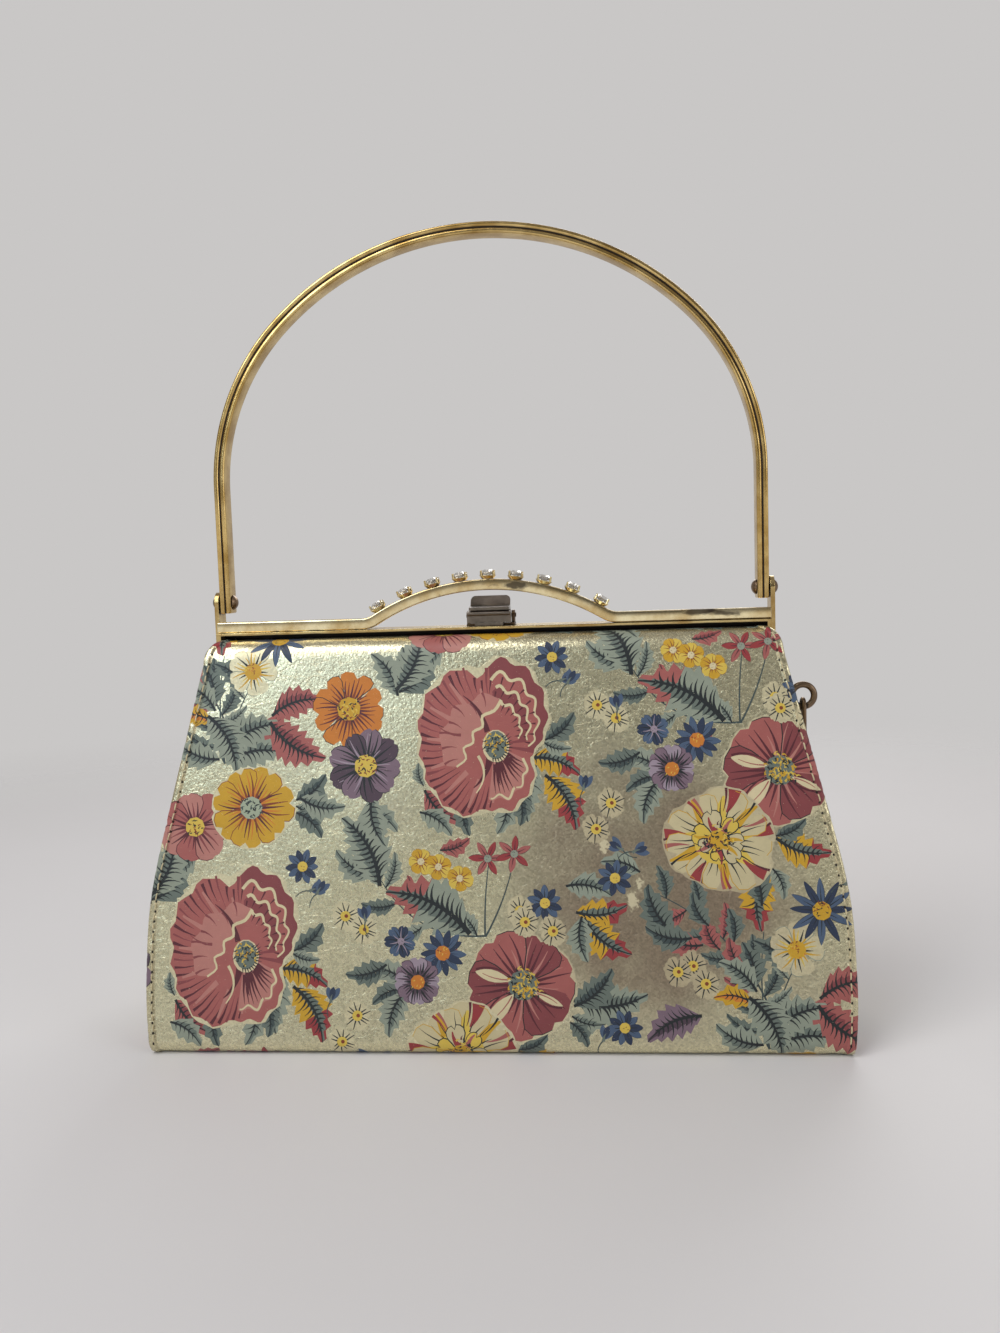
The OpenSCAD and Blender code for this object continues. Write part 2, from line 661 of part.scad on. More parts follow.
// Puts its children on the arch's crown at the place of one stone
module on_arch(i) {
    x = stone_pitch * (i - (stone_count + 1) / 2);
    translate([0, -bar_y, arch_middle_z]) rotate([0, asin(x / arch_radius), 0])
        translate([0, 0, arch_radius + bar_height / 2 + seat_gap]) children();
}

// Side ring with the sleeve at its lowest point
module ring() {
    translate([ring_offset, 0, ring_height]) rotate([90, 0, 0])
        rotate_extrude($fn = 64) translate([ring_middle_radius, 0]) circle(ring_section, $fn = 24);
    rod_along_x(ring_offset - ring_sleeve_length / 2, ring_offset + ring_sleeve_length / 2,
                ring_sleeve_radius, 0, ring_low_z);
}

// Wire staple: its line runs from the plate round a turn, up a leg, over a bow through the ring, and
// back down; the ring of points round each of its points stands square to the line
staple_steps = 6;
wire_sides = 10;
function staple_side(y) = let (x = ring_offset - staple_turn_radius, z = staple_height + staple_turn_radius)
    concat([[plate_x + plate_thickness, y, staple_height]],
           [for (i = [0:staple_steps]) let (a = 90 * i / staple_steps)
               [x + staple_turn_radius * sin(a), y, z - staple_turn_radius * cos(a)]]);
function staple_bow() = [for (i = [0:2 * staple_steps]) let (a = 90 * i / staple_steps)
    [ring_offset, -staple_half * cos(a), staple_bow_z + staple_half * sin(a)]];
function reversed(list) = [for (i = [len(list) - 1:-1:0]) list[i]];
function staple_line() = concat(staple_side(-staple_half), staple_bow(), reversed(staple_side(staple_half)));
function unit(v) = v / norm(v);
function wire_ring(line, i) = let (
        last = len(line) - 1,
        along = unit(line[min(i + 1, last)] - line[max(i - 1, 0)]),
        across = unit(cross(along, [1, 0, -1])),
        up = cross(along, across))
    [for (k = [0:wire_sides - 1]) let (a = 360 * k / wire_sides)
        line[i] + staple_wire * (cos(a) * across - sin(a) * up)];

module staple() {
    line = staple_line();
    loft([for (i = [0:len(line) - 1]) wire_ring(line, i)]);
}

module anchor_plate() {
    half_y = staple_half + staple_wire;
    translate([plate_x, 0, staple_height]) rotate([90, 0, 90]) linear_extrude(plate_thickness - seat_gap) {
        square([2 * half_y, 2 * plate_half_height], center = true);
        for (y = [-half_y, half_y])
            translate([y, 0]) circle(plate_half_height);
    }
}

module front_panel() { color(panel_color) panel(wall_profile()); }
module front_shoulder() { color(panel_color) panel(jaw_profile()); }
module back_panel() { color(panel_color) mirror([0, 1, 0]) panel(panel_profile()); }
module base_panel() { color(panel_color) base_board(); }
module right_gusset() { color(panel_color) gusset(); }
module left_gusset() { color(panel_color) mirror([1, 0, 0]) gusset(); }
module front_right_binding() { color(binding_color) binding(); }
module front_left_binding() { color(binding_color) mirror([1, 0, 0]) binding(); }
module back_right_binding() { color(binding_color) mirror([0, 1, 0]) binding(); }
module back_left_binding() { color(binding_color) mirror([1, 0, 0]) mirror([0, 1, 0]) binding(); }
module lining() { color(lining_color) lining_bag(); }
module front_jaw() { color(gold_color) front_jaw_body(); }
module rear_jaw() { color(gold_color) rear_jaw_body(); }
module arch_bar() { color(gold_color) front_bar(); }
module right_hinge_rivet() { color(bronze_color) hinge_rivet(); }
module left_hinge_rivet() { color(bronze_color) mirror([1, 0, 0]) hinge_rivet(); }
module handle() { color(gold_color) handle_bow(); }
module right_handle_rivet() { color(bronze_color) handle_rivet(); }
module left_handle_rivet() { color(bronze_color) mirror([1, 0, 0]) handle_rivet(); }
module latch_catch() { color(bronze_color) catch_block(); }
module latch_bracket() { color(bronze_color) bracket(); }
module latch_pin() { color(bronze_color) lever_pin(); }
module latch_spring() { color(bronze_color) return_spring(); }
module latch_lever() { color(bronze_color) lever(); }
module side_ring() { color(bronze_color) ring(); }
module ring_staple() { color(bronze_color) staple(); }
module staple_plate() { color(bronze_color) anchor_plate(); }
module stone_cup(i) { color(gold_color) on_arch(i) claw_cup(); }
module stone(i) { color(stone_color) on_arch(i) translate([0, 0, seat_gap]) cut_stone(); }

front_panel();
front_shoulder();
back_panel();
base_panel();
left_gusset();
right_gusset();
front_left_binding();
front_right_binding();
back_left_binding();
back_right_binding();
lining();
front_jaw();
rear_jaw();
arch_bar();
left_hinge_rivet();
right_hinge_rivet();
handle();
left_handle_rivet();
right_handle_rivet();
latch_catch();
latch_bracket();
latch_pin();
latch_spring();
latch_lever();
side_ring();
ring_staple();
staple_plate();
for (i = [1:stone_count]) stone_cup(i);
for (i = [1:stone_count]) stone(i);
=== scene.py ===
# %% [markdown]
# # A printed leather handbag on a metal frame
# The CAD model is the skeleton of this lesson: it holds every size and every joint, and nothing here may
# move it. Blender adds what CAD leaves out, which is leather, print, thread, plating and light. Loading the
# frame first means that each later piece is drawn straight in the CAD's own millimetres.

# %% Load the frame
import cmath
import json
import math
import random

import bpy
import numpy as np
from mathutils import Matrix, Vector, geometry

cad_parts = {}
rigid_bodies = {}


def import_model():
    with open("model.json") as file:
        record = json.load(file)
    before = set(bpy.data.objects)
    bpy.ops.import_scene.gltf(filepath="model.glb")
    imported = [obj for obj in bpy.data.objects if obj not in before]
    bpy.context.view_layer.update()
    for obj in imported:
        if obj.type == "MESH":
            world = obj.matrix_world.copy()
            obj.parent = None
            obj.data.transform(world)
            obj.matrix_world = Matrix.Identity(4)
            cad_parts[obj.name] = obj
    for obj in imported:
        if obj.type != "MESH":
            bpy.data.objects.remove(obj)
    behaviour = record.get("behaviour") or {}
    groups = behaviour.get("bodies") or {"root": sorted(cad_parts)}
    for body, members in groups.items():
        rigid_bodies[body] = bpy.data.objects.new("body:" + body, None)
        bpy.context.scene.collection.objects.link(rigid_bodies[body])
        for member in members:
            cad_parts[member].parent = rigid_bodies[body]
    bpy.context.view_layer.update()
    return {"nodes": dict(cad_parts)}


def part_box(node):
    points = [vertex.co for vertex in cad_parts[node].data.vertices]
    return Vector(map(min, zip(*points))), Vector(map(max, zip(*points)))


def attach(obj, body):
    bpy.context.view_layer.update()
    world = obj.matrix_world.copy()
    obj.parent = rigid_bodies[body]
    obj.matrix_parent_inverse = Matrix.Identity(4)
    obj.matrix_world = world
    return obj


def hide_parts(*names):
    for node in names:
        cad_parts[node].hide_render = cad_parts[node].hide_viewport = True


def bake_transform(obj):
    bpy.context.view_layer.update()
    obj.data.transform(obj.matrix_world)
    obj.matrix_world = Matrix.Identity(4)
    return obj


for leftover in list(bpy.data.objects):
    bpy.data.objects.remove(leftover)
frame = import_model()
nodes = frame["nodes"]
MM = 0.001

# %% [markdown]
# ## The camera
# A camera could be nudged by eye until the picture looks right. Here its place and its three turns come
# from fitting the bag's corners to the photograph, so they are written as plain numbers. The focal length
# is in pixels of a picture 1000 wide, which Blender's 36 mm sensor turns into a lens.

# %% Camera
PHOTO_WIDTH, PHOTO_HEIGHT = 1000, 1333
FOCAL_PIXELS = 1100
SENSOR = 36
CAMERA_PLACE = Vector((37.6, -414.1, 169.6))
YAW, PITCH, ROLL = (math.radians(a) for a in (4.77, 4.89, -1.82))

sight = Vector((-math.sin(YAW) * math.cos(PITCH), math.cos(YAW) * math.cos(PITCH), -math.sin(PITCH)))
level = Vector((math.cos(YAW), math.sin(YAW), 0))
upright = level.cross(sight)
image_right = level * math.cos(ROLL) + upright * math.sin(ROLL)
image_up = upright * math.cos(ROLL) - level * math.sin(ROLL)

camera_data = bpy.data.cameras.new("camera")
camera_data.sensor_fit = "HORIZONTAL"
camera_data.sensor_width = SENSOR
camera_data.lens = SENSOR * FOCAL_PIXELS / PHOTO_WIDTH
camera_data.clip_start, camera_data.clip_end = 0.01, 20
camera = bpy.data.objects.new("camera", camera_data)
turn = Matrix((image_right, image_up, -sight)).transposed().to_4x4()
camera.matrix_world = Matrix.Translation(CAMERA_PLACE * MM) @ turn
bpy.context.scene.collection.objects.link(camera)
bpy.context.scene.camera = camera
print(f"lens {camera_data.lens:.1f} mm")


def photo_ray(column, row):
    """Direction from the camera through a pixel of the photograph."""
    return (sight * FOCAL_PIXELS + image_right * (column - PHOTO_WIDTH / 2)
            + image_up * (PHOTO_HEIGHT / 2 - row))


# %% [markdown]
# ## Sums with shader sockets
# A material is a small program made of nodes. Wiring every Math node by hand hides the idea, so one class
# wraps a socket and lets Python's own operators add the nodes: `1 - rust * 0.4` reads as it works, and
# `rust | dirt` is either of the two. All other nodes come from one method that first sets the node's options
# and then fills or links its sockets.

# %% Sockets that do sums
class Wire:
    """An output socket of a finish; arithmetic on it adds Math nodes to the finish's tree."""

    def __init__(self, finish, socket):
        self.finish, self.socket = finish, socket

    def sum(self, operation, a, b=None):
        values = {0: a} if b is None else {0: a, 1: b}
        return self.finish.node("ShaderNodeMath", {"operation": operation}, values)

    def __add__(self, other):
        return self.sum("ADD", self, other)

    def __radd__(self, other):
        return self.sum("ADD", other, self)

    def __sub__(self, other):
        return self.sum("SUBTRACT", self, other)

    def __rsub__(self, other):
        return self.sum("SUBTRACT", other, self)

    def __mul__(self, other):
        return self.sum("MULTIPLY", self, other)

    def __rmul__(self, other):
        return self.sum("MULTIPLY", other, self)

    def __or__(self, other):
        """Either of two shares: the second fills what the first leaves free."""
        return self + other * (1 - self)

    def __abs__(self):
        return self.sum("ABSOLUTE", self)

    def over(self, edge, soft):
        """0 below an edge and 1 above it, with a soft step between."""
        return self.finish.node("ShaderNodeMapRange", {"interpolation_type": "SMOOTHSTEP"},
                                {"Value": self, "From Min": edge - soft, "From Max": edge + soft})


class Nodes:
    """A tree of nodes, and the ways to add to it."""

    def __init__(self, tree):
        self.tree = tree

    def put(self, socket, value):
        if isinstance(value, Wire):
            self.tree.links.new(value.socket, socket)
        elif hasattr(socket.default_value, "__len__") and len(socket.default_value) == 4:
            socket.default_value = (*value[:3], 1)
        else:
            socket.default_value = value

    def node(self, kind, options=None, values=None, out=0):
        made = self.tree.nodes.new(kind)
        for name, option in (options or {}).items():
            setattr(made, name, option)
        for name, value in (values or {}).items():
            self.put(made.inputs[name], value)
        return Wire(self, made.outputs[out])

    def place(self, stretch=(1, 1, 1)):
        spot = self.node("ShaderNodeTexCoord", out="Object")
        return self.node("ShaderNodeVectorMath", {"operation": "MULTIPLY"}, {0: spot, 1: stretch})

    def noise(self, size, detail=3, rough=0.5, stretch=(1, 1, 1)):
        """Clouds whose blobs are about `size` millimetres across."""
        return self.node("ShaderNodeTexNoise", None, {
            "Vector": self.place(stretch), "Scale": 1 / (size * MM), "Detail": detail, "Roughness": rough})

    def blend(self, share, low, high, mode="MIX"):
        return self.node("ShaderNodeMix", {"data_type": "RGBA", "blend_type": mode},
                         {0: share, 6: low, 7: high}, out=2)


class Finish(Nodes):
    """One material: a Principled shader and the nodes that feed it."""

    def __init__(self, name, **fixed):
        self.material = bpy.data.materials.new(name)
        self.material.use_nodes = True
        super().__init__(self.material.node_tree)
        self.shader = self.tree.nodes["Principled BSDF"]
        self.set(**fixed)

    def set(self, **values):
        for name, value in values.items():
            self.put(self.shader.inputs[name.replace("_", " ")], value)

    def relief(self, height, depth, under=None):
        values = {"Height": height, "Distance": depth * MM, "Strength": 1}
        if under:
            values["Normal"] = under
        return self.node("ShaderNodeBump", None, values)


def shade(code):
    """A colour written as six hex digits, turned into the linear numbers that shaders use."""
    parts = (int(code[k:k + 2], 16) / 255 for k in (0, 2, 4))
    return tuple(c / 12.92 if c <= 0.04045 else ((c + 0.055) / 1.055) ** 2.4 for c in parts)


print("wires add, subtract and multiply")

# %% [markdown]
# ## Floor and light
# Polished metal shows the room, so the room matters as much as the lamps. The floor is plain and pale, and
# fades out with distance, so that no hard horizon is left. The sky is pale ahead and darker behind the
# camera, with one darker patch like the black card that photographers hang up to give shiny things depth.
# One large soft lamp stands to the upper left with a cool window below it, a weaker lamp fills the right,
# and a strip above draws the bright band along the rolled shoulder.

# %% Floor, sky and lamps
bpy.context.scene.view_settings.view_transform = "Standard"
FLOOR_HALF = 3.0
floor_mesh = bpy.data.meshes.new("floor")
floor_corners = [(x * FLOOR_HALF, y * FLOOR_HALF, 0) for x, y in ((-1, -1), (1, -1), (1, 1), (-1, 1))]
floor_mesh.from_pydata(floor_corners, [], [(0, 1, 2, 3)])
floor = bpy.data.objects.new("floor", floor_mesh)
bpy.context.scene.collection.objects.link(floor)
floor_finish = Finish("pale_floor", Roughness=0.55, Specular_IOR_Level=0.3)
away = floor_finish.node("ShaderNodeVectorMath", {"operation": "LENGTH"}, {0: floor_finish.place()},
                         out="Value")
floor_finish.set(Base_Color=floor_finish.blend(floor_finish.noise(300), shade("d4d1d0"), shade("dddad9")),
                 Alpha=1 - away.over(0.62, 0.3))
floor_mesh.materials.append(floor_finish.material)

SKY_PALE, SKY_DIM, SKY_TOP = shade("b0aead"), shade("7d7974"), shade("989698")
BACKDROP, FLOOR_FAR, CARD = shade("c9c7c6"), shade("f6f4f0"), shade("2f2c2a")
CARD_WAY, CARD_HALF = (0.09, -0.97, 0.17), 0.15
world = bpy.data.worlds.new("studio")
bpy.context.scene.world = world
world.use_nodes = True
sky = Nodes(world.node_tree)
view = sky.node("ShaderNodeTexCoord", out="Generated")
along_y, along_z = (sky.node("ShaderNodeSeparateXYZ", None, {0: view}, out=k) for k in "YZ")
from_card = sky.node("ShaderNodeVectorMath", {"operation": "DISTANCE"}, {0: view, 1: CARD_WAY}, out="Value")
behind = (along_y * -1).over(0.2, 0.6)
overhead = along_z.over(0.6, 0.35)
below = (along_z * -1).over(-0.02, 0.06)
sky_shade = sky.blend(overhead, sky.blend(behind, SKY_PALE, SKY_DIM), SKY_TOP)
sky_shade = sky.blend(from_card.over(CARD_HALF, 0.1), CARD, sky_shade)
sky_shade = sky.blend(below, sky_shade, FLOOR_FAR)
camera_ray, glossy_ray, clear_ray = (sky.node("ShaderNodeLightPath", out=f"Is {kind} Ray")
                                     for kind in ("Camera", "Glossy", "Transmission"))
ahead = along_y.over(0.2, 0.2) * (1 - overhead)
seen = camera_ray + clear_ray + glossy_ray * ahead
sky.put(world.node_tree.nodes["Background"].inputs["Color"], sky.blend(seen, sky_shade, BACKDROP))


def soft_lamp(name, place, aim, width, height, watts, tint=(1, 1, 1)):
    """A rectangular area lamp at a place, turned to face a point; all in metres."""
    lamp = bpy.data.lights.new(name, "AREA")
    lamp.color = tint
    lamp.shape, lamp.size, lamp.size_y, lamp.energy = "RECTANGLE", width, height, watts
    holder = bpy.data.objects.new(name, lamp)
    holder.location = place
    holder.rotation_euler = (Vector(aim) - Vector(place)).to_track_quat("-Z", "Y").to_euler()
    bpy.context.scene.collection.objects.link(holder)


MIDDLE = (0, 0, 0.13)
soft_lamp("key", (-0.75, -0.75, 0.95), MIDDLE, 0.6, 0.6, 5)
soft_lamp("window", (-0.62, -1.3, 0.74), MIDDLE, 0.45, 0.6, 3.4, shade("cfe7fb"))
soft_lamp("fill", (0.95, -0.6, 0.5), MIDDLE, 0.6, 0.6, 2.5)
soft_lamp("strip", (-0.3, -0.3, 0.85), MIDDLE, 0.5, 0.25, 2)
soft_lamp("back", (0.2, 0.9, 0.7), MIDDLE, 0.8, 0.4, 4)
print("floor, sky and", len(bpy.data.lights), "lamps")

# %% [markdown]
# ## The shape of the leather
# The body is a tapered box of stiffened leather. Its front is one strip that folds under the base, leans
# back, rolls over a shoulder and ends in the frame's channel. A point on it needs only two numbers: x
# across, and s, the path length up from the fold. The sizes repeat the CAD model's, with its box as a check.

# %% The panel as a path
BODY_WIDTH, FLARE_HEIGHT, FLARE_SOFTNESS, SIDE_TAPER = 252.4, 53, 7, 0.237
BASE_PINCH, PINCH_HEIGHT = 1.8, 26
BASE_DEPTH, MOUTH_DEPTH, FOLD_RADIUS = 84, 32.68, 4.4
SHOULDER_HEIGHT, SHOULDER_RADIUS = 147, 8
CORNER_INSET, CORNER_HEIGHT = 5, 8
FLANGE_END = -2.0
PANEL_THICKNESS, BINDING_WIDTH = 2.4, 3.2
LEAN = math.atan((BASE_DEPTH - MOUTH_DEPTH) / 2 / (SHOULDER_HEIGHT - FOLD_RADIUS))
SIN, COS, TAN = math.sin(LEAN), math.cos(LEAN), math.tan(LEAN)

FOLD_Y = FOLD_RADIUS - BASE_DEPTH / 2
LEAN_START = (FOLD_Y - FOLD_RADIUS * COS, FOLD_RADIUS * (1 + SIN))
LEAN_TOP = SHOULDER_HEIGHT - SHOULDER_RADIUS * (1 - SIN)
SHOULDER_Y = LEAN_START[0] + (LEAN_TOP - LEAN_START[1]) * TAN + SHOULDER_RADIUS * COS
FOLD_TURN, SHOULDER_TURN = math.pi / 2 + LEAN, math.pi / 2 - LEAN
S_FOLD = FOLD_RADIUS * FOLD_TURN
S_LEAN = S_FOLD + (LEAN_TOP - LEAN_START[1]) / COS
S_SHOULDER = S_LEAN + SHOULDER_RADIUS * SHOULDER_TURN
S_END = S_SHOULDER + FLANGE_END - SHOULDER_Y


def side_half(z):
    """Half width of the body at a height."""
    flare = FLARE_SOFTNESS * math.log(1 + math.exp((z - FLARE_HEIGHT) / FLARE_SOFTNESS))
    return BODY_WIDTH / 2 - SIDE_TAPER * flare - BASE_PINCH * max(0, 1 - z / PINCH_HEIGHT) ** 2


def panel_half(z):
    """Half width of the front panel, with its rounded top corners."""
    u = min(1, max(0, (z - SHOULDER_HEIGHT + CORNER_HEIGHT) / CORNER_HEIGHT))
    return side_half(min(z, SHOULDER_HEIGHT - CORNER_HEIGHT)) - CORNER_INSET * (1 - math.sqrt(1 - u * u))


def path_point(s):
    """(y, z, normal y, normal z) of the front panel's outer face at a path length."""
    if s < S_FOLD:
        a = s / FOLD_RADIUS
        return (FOLD_Y - FOLD_RADIUS * math.sin(a), FOLD_RADIUS * (1 - math.cos(a)),
                -math.sin(a), -math.cos(a))
    if s < S_LEAN:
        d = s - S_FOLD
        return LEAN_START[0] + d * SIN, LEAN_START[1] + d * COS, -COS, SIN
    a = FOLD_TURN + min(s - S_LEAN, S_SHOULDER - S_LEAN) / SHOULDER_RADIUS
    beyond = max(0, s - S_SHOULDER)
    return (SHOULDER_Y - SHOULDER_RADIUS * math.sin(a) + beyond,
            SHOULDER_HEIGHT - SHOULDER_RADIUS * (1 + math.cos(a)), -math.sin(a), -math.cos(a))


SOFT_EDGE, SOFT_SIDE = 25, 20


def softness(x, s):
    """Shallow hollows and swells of worn leather, in millimetres, dying out at the edges."""
    fade = min(1, max(0, s - S_FOLD) / SOFT_EDGE) * min(1, max(0, S_LEAN + 4 - s) / SOFT_EDGE)
    fade *= min(1, max(0, panel_half(path_point(s)[1]) - abs(x)) / SOFT_SIDE)
    return fade * (0.35 * math.sin(x / 31 + s / 47) + 0.3 * math.sin(x / 17 - s / 23 + 1) + 0.25)


def front_point(x, s, out=0.0):
    y, z, ny, nz = path_point(s)
    lift = out + softness(x, s)
    return Vector((x, y + ny * lift, z + nz * lift))


def on_front(column, row):
    """The front panel's (x, s), as a complex number, behind a pixel of the photograph."""
    ray = photo_ray(column, row)
    face = Vector((0, -COS, SIN))
    reach = (Vector((0, *LEAN_START)) - CAMERA_PLACE).dot(face) / ray.dot(face)
    hit = CAMERA_PLACE + ray * reach
    return complex(hit.x, S_FOLD + (hit.z - LEAN_START[1]) / COS)


cad_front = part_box("front_panel")[0].y / MM
print(f"panel path {S_END:.1f} mm; front edge {path_point(S_FOLD)[0]:.2f} mm, CAD {cad_front:.2f} mm")

# %% [markdown]
# ## Drawing with ink shapes
# The leather carries a printed bouquet: peonies, anemones, striped blossoms, daisies and leaves. A picture
# texture is one way; here each flower is drawn as filled outlines instead, as a textile designer cuts
# stencils. Outlines are lists of complex numbers, because turning and scaling one is then a single product.

# %% Inks and brush strokes
INK = {name: shade(code) for name, code in {
    "cream": "cdbf98", "rose": "9d5853", "rose_pale": "ae746a", "rose_deep": "7e3e40", "maroon": "54222a",
    "red": "8f3436", "orange": "c07429", "rust": "7c3a22", "mustard": "c09526", "lemon": "cdb04a",
    "plum": "4b3a45", "mauve": "76616d", "slate": "46576f", "navy": "283349", "lilac": "93848f",
    "leaf": "899080", "leaf_dark": "636d64", "stem": "3c4847", "soot": "1d2224", "pale_green": "9aa38c",
    "ivory": "bfb28b"}.items()}


def spin(degrees):
    return cmath.rect(1, math.radians(degrees))


def placed(shapes, at=0, turn=0, size=1):
    """A drawing moved to a point, turned in degrees and scaled."""
    step = size * spin(turn)
    return [([at + p * step for p in outline], ink) for outline, ink in shapes]


def bow(a, b, bend, steps=8):
    """Points from a to b along a curve that bulges sideways by a share of its length."""
    shares = [k / steps for k in range(steps + 1)]
    return [a + (b - a) * t + (b - a) * 4j * bend * t * (1 - t) for t in shares]


def brush(line, width, ink, start=1.0, end=0.1):
    """A stroke along a line, whose width goes from a start share to an end share."""
    sides = [], []
    for k, p in enumerate(line):
        along = line[min(k + 1, len(line) - 1)] - line[max(k - 1, 0)]
        half = width / 2 * (start + (end - start) * k / (len(line) - 1)) * 1j * along / abs(along)
        sides[0].append(p + half)
        sides[1].append(p - half)
    return sides[0] + sides[1][::-1], ink


def smooth(points, steps=4):
    """A curve through the points (Catmull-Rom), with a few steps between each pair."""
    ends = [2 * points[0] - points[1], *points, 2 * points[-1] - points[-2]]
    made = []
    for a, b, c, d in zip(ends, ends[1:], ends[2:], ends[3:]):
        for t in (k / steps for k in range(steps)):
            made.append(b + (c - a) * t / 2 + (2 * a - 5 * b + 4 * c - d) * t ** 2 / 2
                        + (3 * b - a - 3 * c + d) * t ** 3 / 2)
    return made + points[-1:]


def petal(reach, breadth, belly=1.7, notch=0.0, steps=9):
    """Outline of a petal from 0 along the real axis; a larger belly puts its widest part nearer the tip."""
    share = [(1 - math.cos(math.pi * k / steps)) / 2 for k in range(steps + 1)]
    edge = [complex(reach * t * (1 - notch * t ** 8), breadth / 2 * math.sin(math.pi * t ** belly) ** 0.75)
            for t in share]
    edge[-1] -= reach * notch
    return edge + [p.conjugate() for p in edge[-2:0:-1]]


def spot(radius, ink, at=0, sides=9, squash=1.0):
    return [at + radius * complex(squash * math.cos(a), math.sin(a))
            for a in (2 * math.pi * k / sides for k in range(sides))], ink


def specks(rng, radius, inks, count, size):
    """Short dabs scattered over a disc, as stamens are drawn."""
    made = []
    for k in range(count):
        at = radius * math.sqrt(rng.random()) * spin(rng.uniform(0, 360))
        end = at + size * 2.2 * spin(rng.uniform(0, 360))
        made.append(brush(bow(at, end, 0.2, 2), size, inks[k % len(inks)]))
    return made


print(len(INK), "inks")

# %% [markdown]
# ### Flowers as rosettes
# Most of the flowers are petals turned about a heart, so one function draws them all: round or pointed,
# few or many, with streaks that run out from the heart and a fine dark line down one edge of each petal.

# %% Rosette and leaf
def rosette(rng, petals, reach, breadth, fills, streak, heart, belly=1.7, streaks=5, notch=0.04,
            edge="soot", width=0.55, stretch=0.8):
    """A flower of `petals` petals; heart is (radius, ground ink, dab inks, number of dabs)."""
    made = []
    for k in range(petals):
        one = [(petal(reach, breadth, belly, notch), fills[k % len(fills)])]
        for j in range(streaks):
            lean = (2 * j + 1) / streaks - 1
            root = complex(reach * 0.12, breadth * 0.1 * lean)
            tip = complex(reach * rng.uniform(0.5, stretch), breadth * 0.36 * lean)
            one.append(brush(bow(root, tip, 0.08 * lean, 5), width * 1.5, streak[j % len(streak)], 1, 0.15))
        outline = one[0][0]
        one.append(brush(outline[len(outline) // 2 + 1:-1], width * 0.5, edge, 0.6, 1))
        made += placed(one, 0, 360 * k / petals + rng.uniform(-5, 5), rng.uniform(0.92, 1.06))
    radius, ground, dabs, count = heart
    return made + [spot(radius, ground)] + specks(rng, radius * 0.95, dabs, count, radius * 0.16)


def leaf(rng, reach, breadth, light="leaf", dark="leaf_dark", vein="soot", teeth=5, bend=0.1, tip=None):
    """A toothed leaf along the real axis: light ground, dark heart, veins, perhaps a coloured tip."""
    spine = bow(0, reach, bend, 2 * teeth)

    def edge(share):
        ends = []
        for k, p in enumerate(spine[1:-1], 1):
            half = share * breadth / 2 * math.sin(math.pi * (k / (2 * teeth)) ** 0.8)
            ends.append(p + complex(0.05 * reach * (k % 2), half * (1.14 if k % 2 else 0.78)))
        return ends

    upper, lower = edge(1), edge(-1)
    made = [(spine[:1] + lower + spine[-1:] + upper[::-1], light)]
    if tip:
        made.append((lower[teeth:] + spine[-1:] + upper[:teeth - 1:-1], tip))
    made.append((spine[:1] + edge(-0.14) + spine[-1:] + edge(0.46)[::-1], dark))
    made.append(brush(spine, breadth * 0.1, vein, 1, 0.3))
    for k in range(2, 2 * teeth - 1):
        for side in (upper, lower):
            root = spine[k - 1]
            end = root + (side[k - 1] - root) * rng.uniform(0.5, 0.9)
            made.append(brush(bow(root, end, 0.1, 3), breadth * 0.07, vein))
    return made


LEAF_BEND, LEAF_SPREAD = 0.12, 48


def sprig(rng, line, leaves, reach, breadth, inks):
    """A stem with leaves to both sides."""
    made = [brush(line, 0.7, "stem", 1, 0.5)]
    for k in range(leaves):
        place = (k + 1) / (leaves + 0.5) * (len(line) - 1)
        at, ahead = line[int(place)], line[min(int(place) + 1, len(line) - 1)]
        heading = math.degrees(cmath.phase(ahead - line[max(int(place) - 1, 0)]))
        light, dark, tip = inks[k % len(inks)]
        side = 1 if k % 2 else -1
        one = leaf(rng, reach * rng.uniform(0.85, 1.1), breadth, light, dark, bend=LEAF_BEND * side, tip=tip)
        made += placed(one, at, heading + LEAF_SPREAD * side)
    return made


trial = rosette(random.Random(1), 9, 8, 3, ["slate"], ["navy"], (2, "lemon", ["rust"], 9))
print("a daisy holds", len(trial), "shapes")

# %% [markdown]
# ### The peony
# The largest flower is seen a little from the side, so it isn't a rosette: its rim is a list of reaches at
# a few angles round the stamens, and the petals are fans cut from that rim. Ruffled cream lines mark the
# folded edges, and streaks run in from the outer rim.

# %% Peony
PEONY_RIM = ((0, 18), (30, 25), (60, 31), (82, 33), (95, 31), (104, 24), (113, 33), (150, 34), (180, 31),
             (212, 31), (240, 30), (262, 24), (285, 25), (318, 21), (342, 15), (360, 18))
PEONY_WIDE, PEONY_TALL, RIM_WAVES = 0.87, 0.95, 18
PEONY_RUFFLES = ((-6, 97, 0.82, "rose"), (4, 92, 0.66, "rose_deep"), (10, 98, 0.5, "rose"))
PEONY_CREASES = ((-2 - 3j, -9 - 16j, 0.12, 3.4, "maroon"), (2 - 5j, 2 - 15j, -0.1, 3, "maroon"),
                 (-3 + 5j, -13 + 19j, -0.1, 2.4, "maroon"), (-14 + 4j, -24 + 8j, 0.1, 1.2, "rose_deep"))
PEONY_LIP = ((-16, -8), (-12, -5), (-13, -1), (-9, 1), (-9, 5), (-5, 7), (-5, 11), (0, 13), (3, 17))
PEONY_EDGE = ((-16, -8), (-21, -7), (-22, -1), (-23, 5), (-19, 9), (-17, 15), (-10, 16), (-5, 20), (3, 17))


def rim(angle, share=1.0, ripple=0.0):
    reach = np.interp(angle % 360, *zip(*PEONY_RIM))
    return share * reach * (1 + ripple * math.sin(RIM_WAVES * math.radians(angle))) * spin(angle)


def arc_of(first, last, share, ripple=0.035, steps=30):
    return [rim(first + (last - first) * k / steps, share, ripple) for k in range(steps + 1)]


def fan(first, last, share, ink):
    return [0j] + arc_of(first, last, share), ink


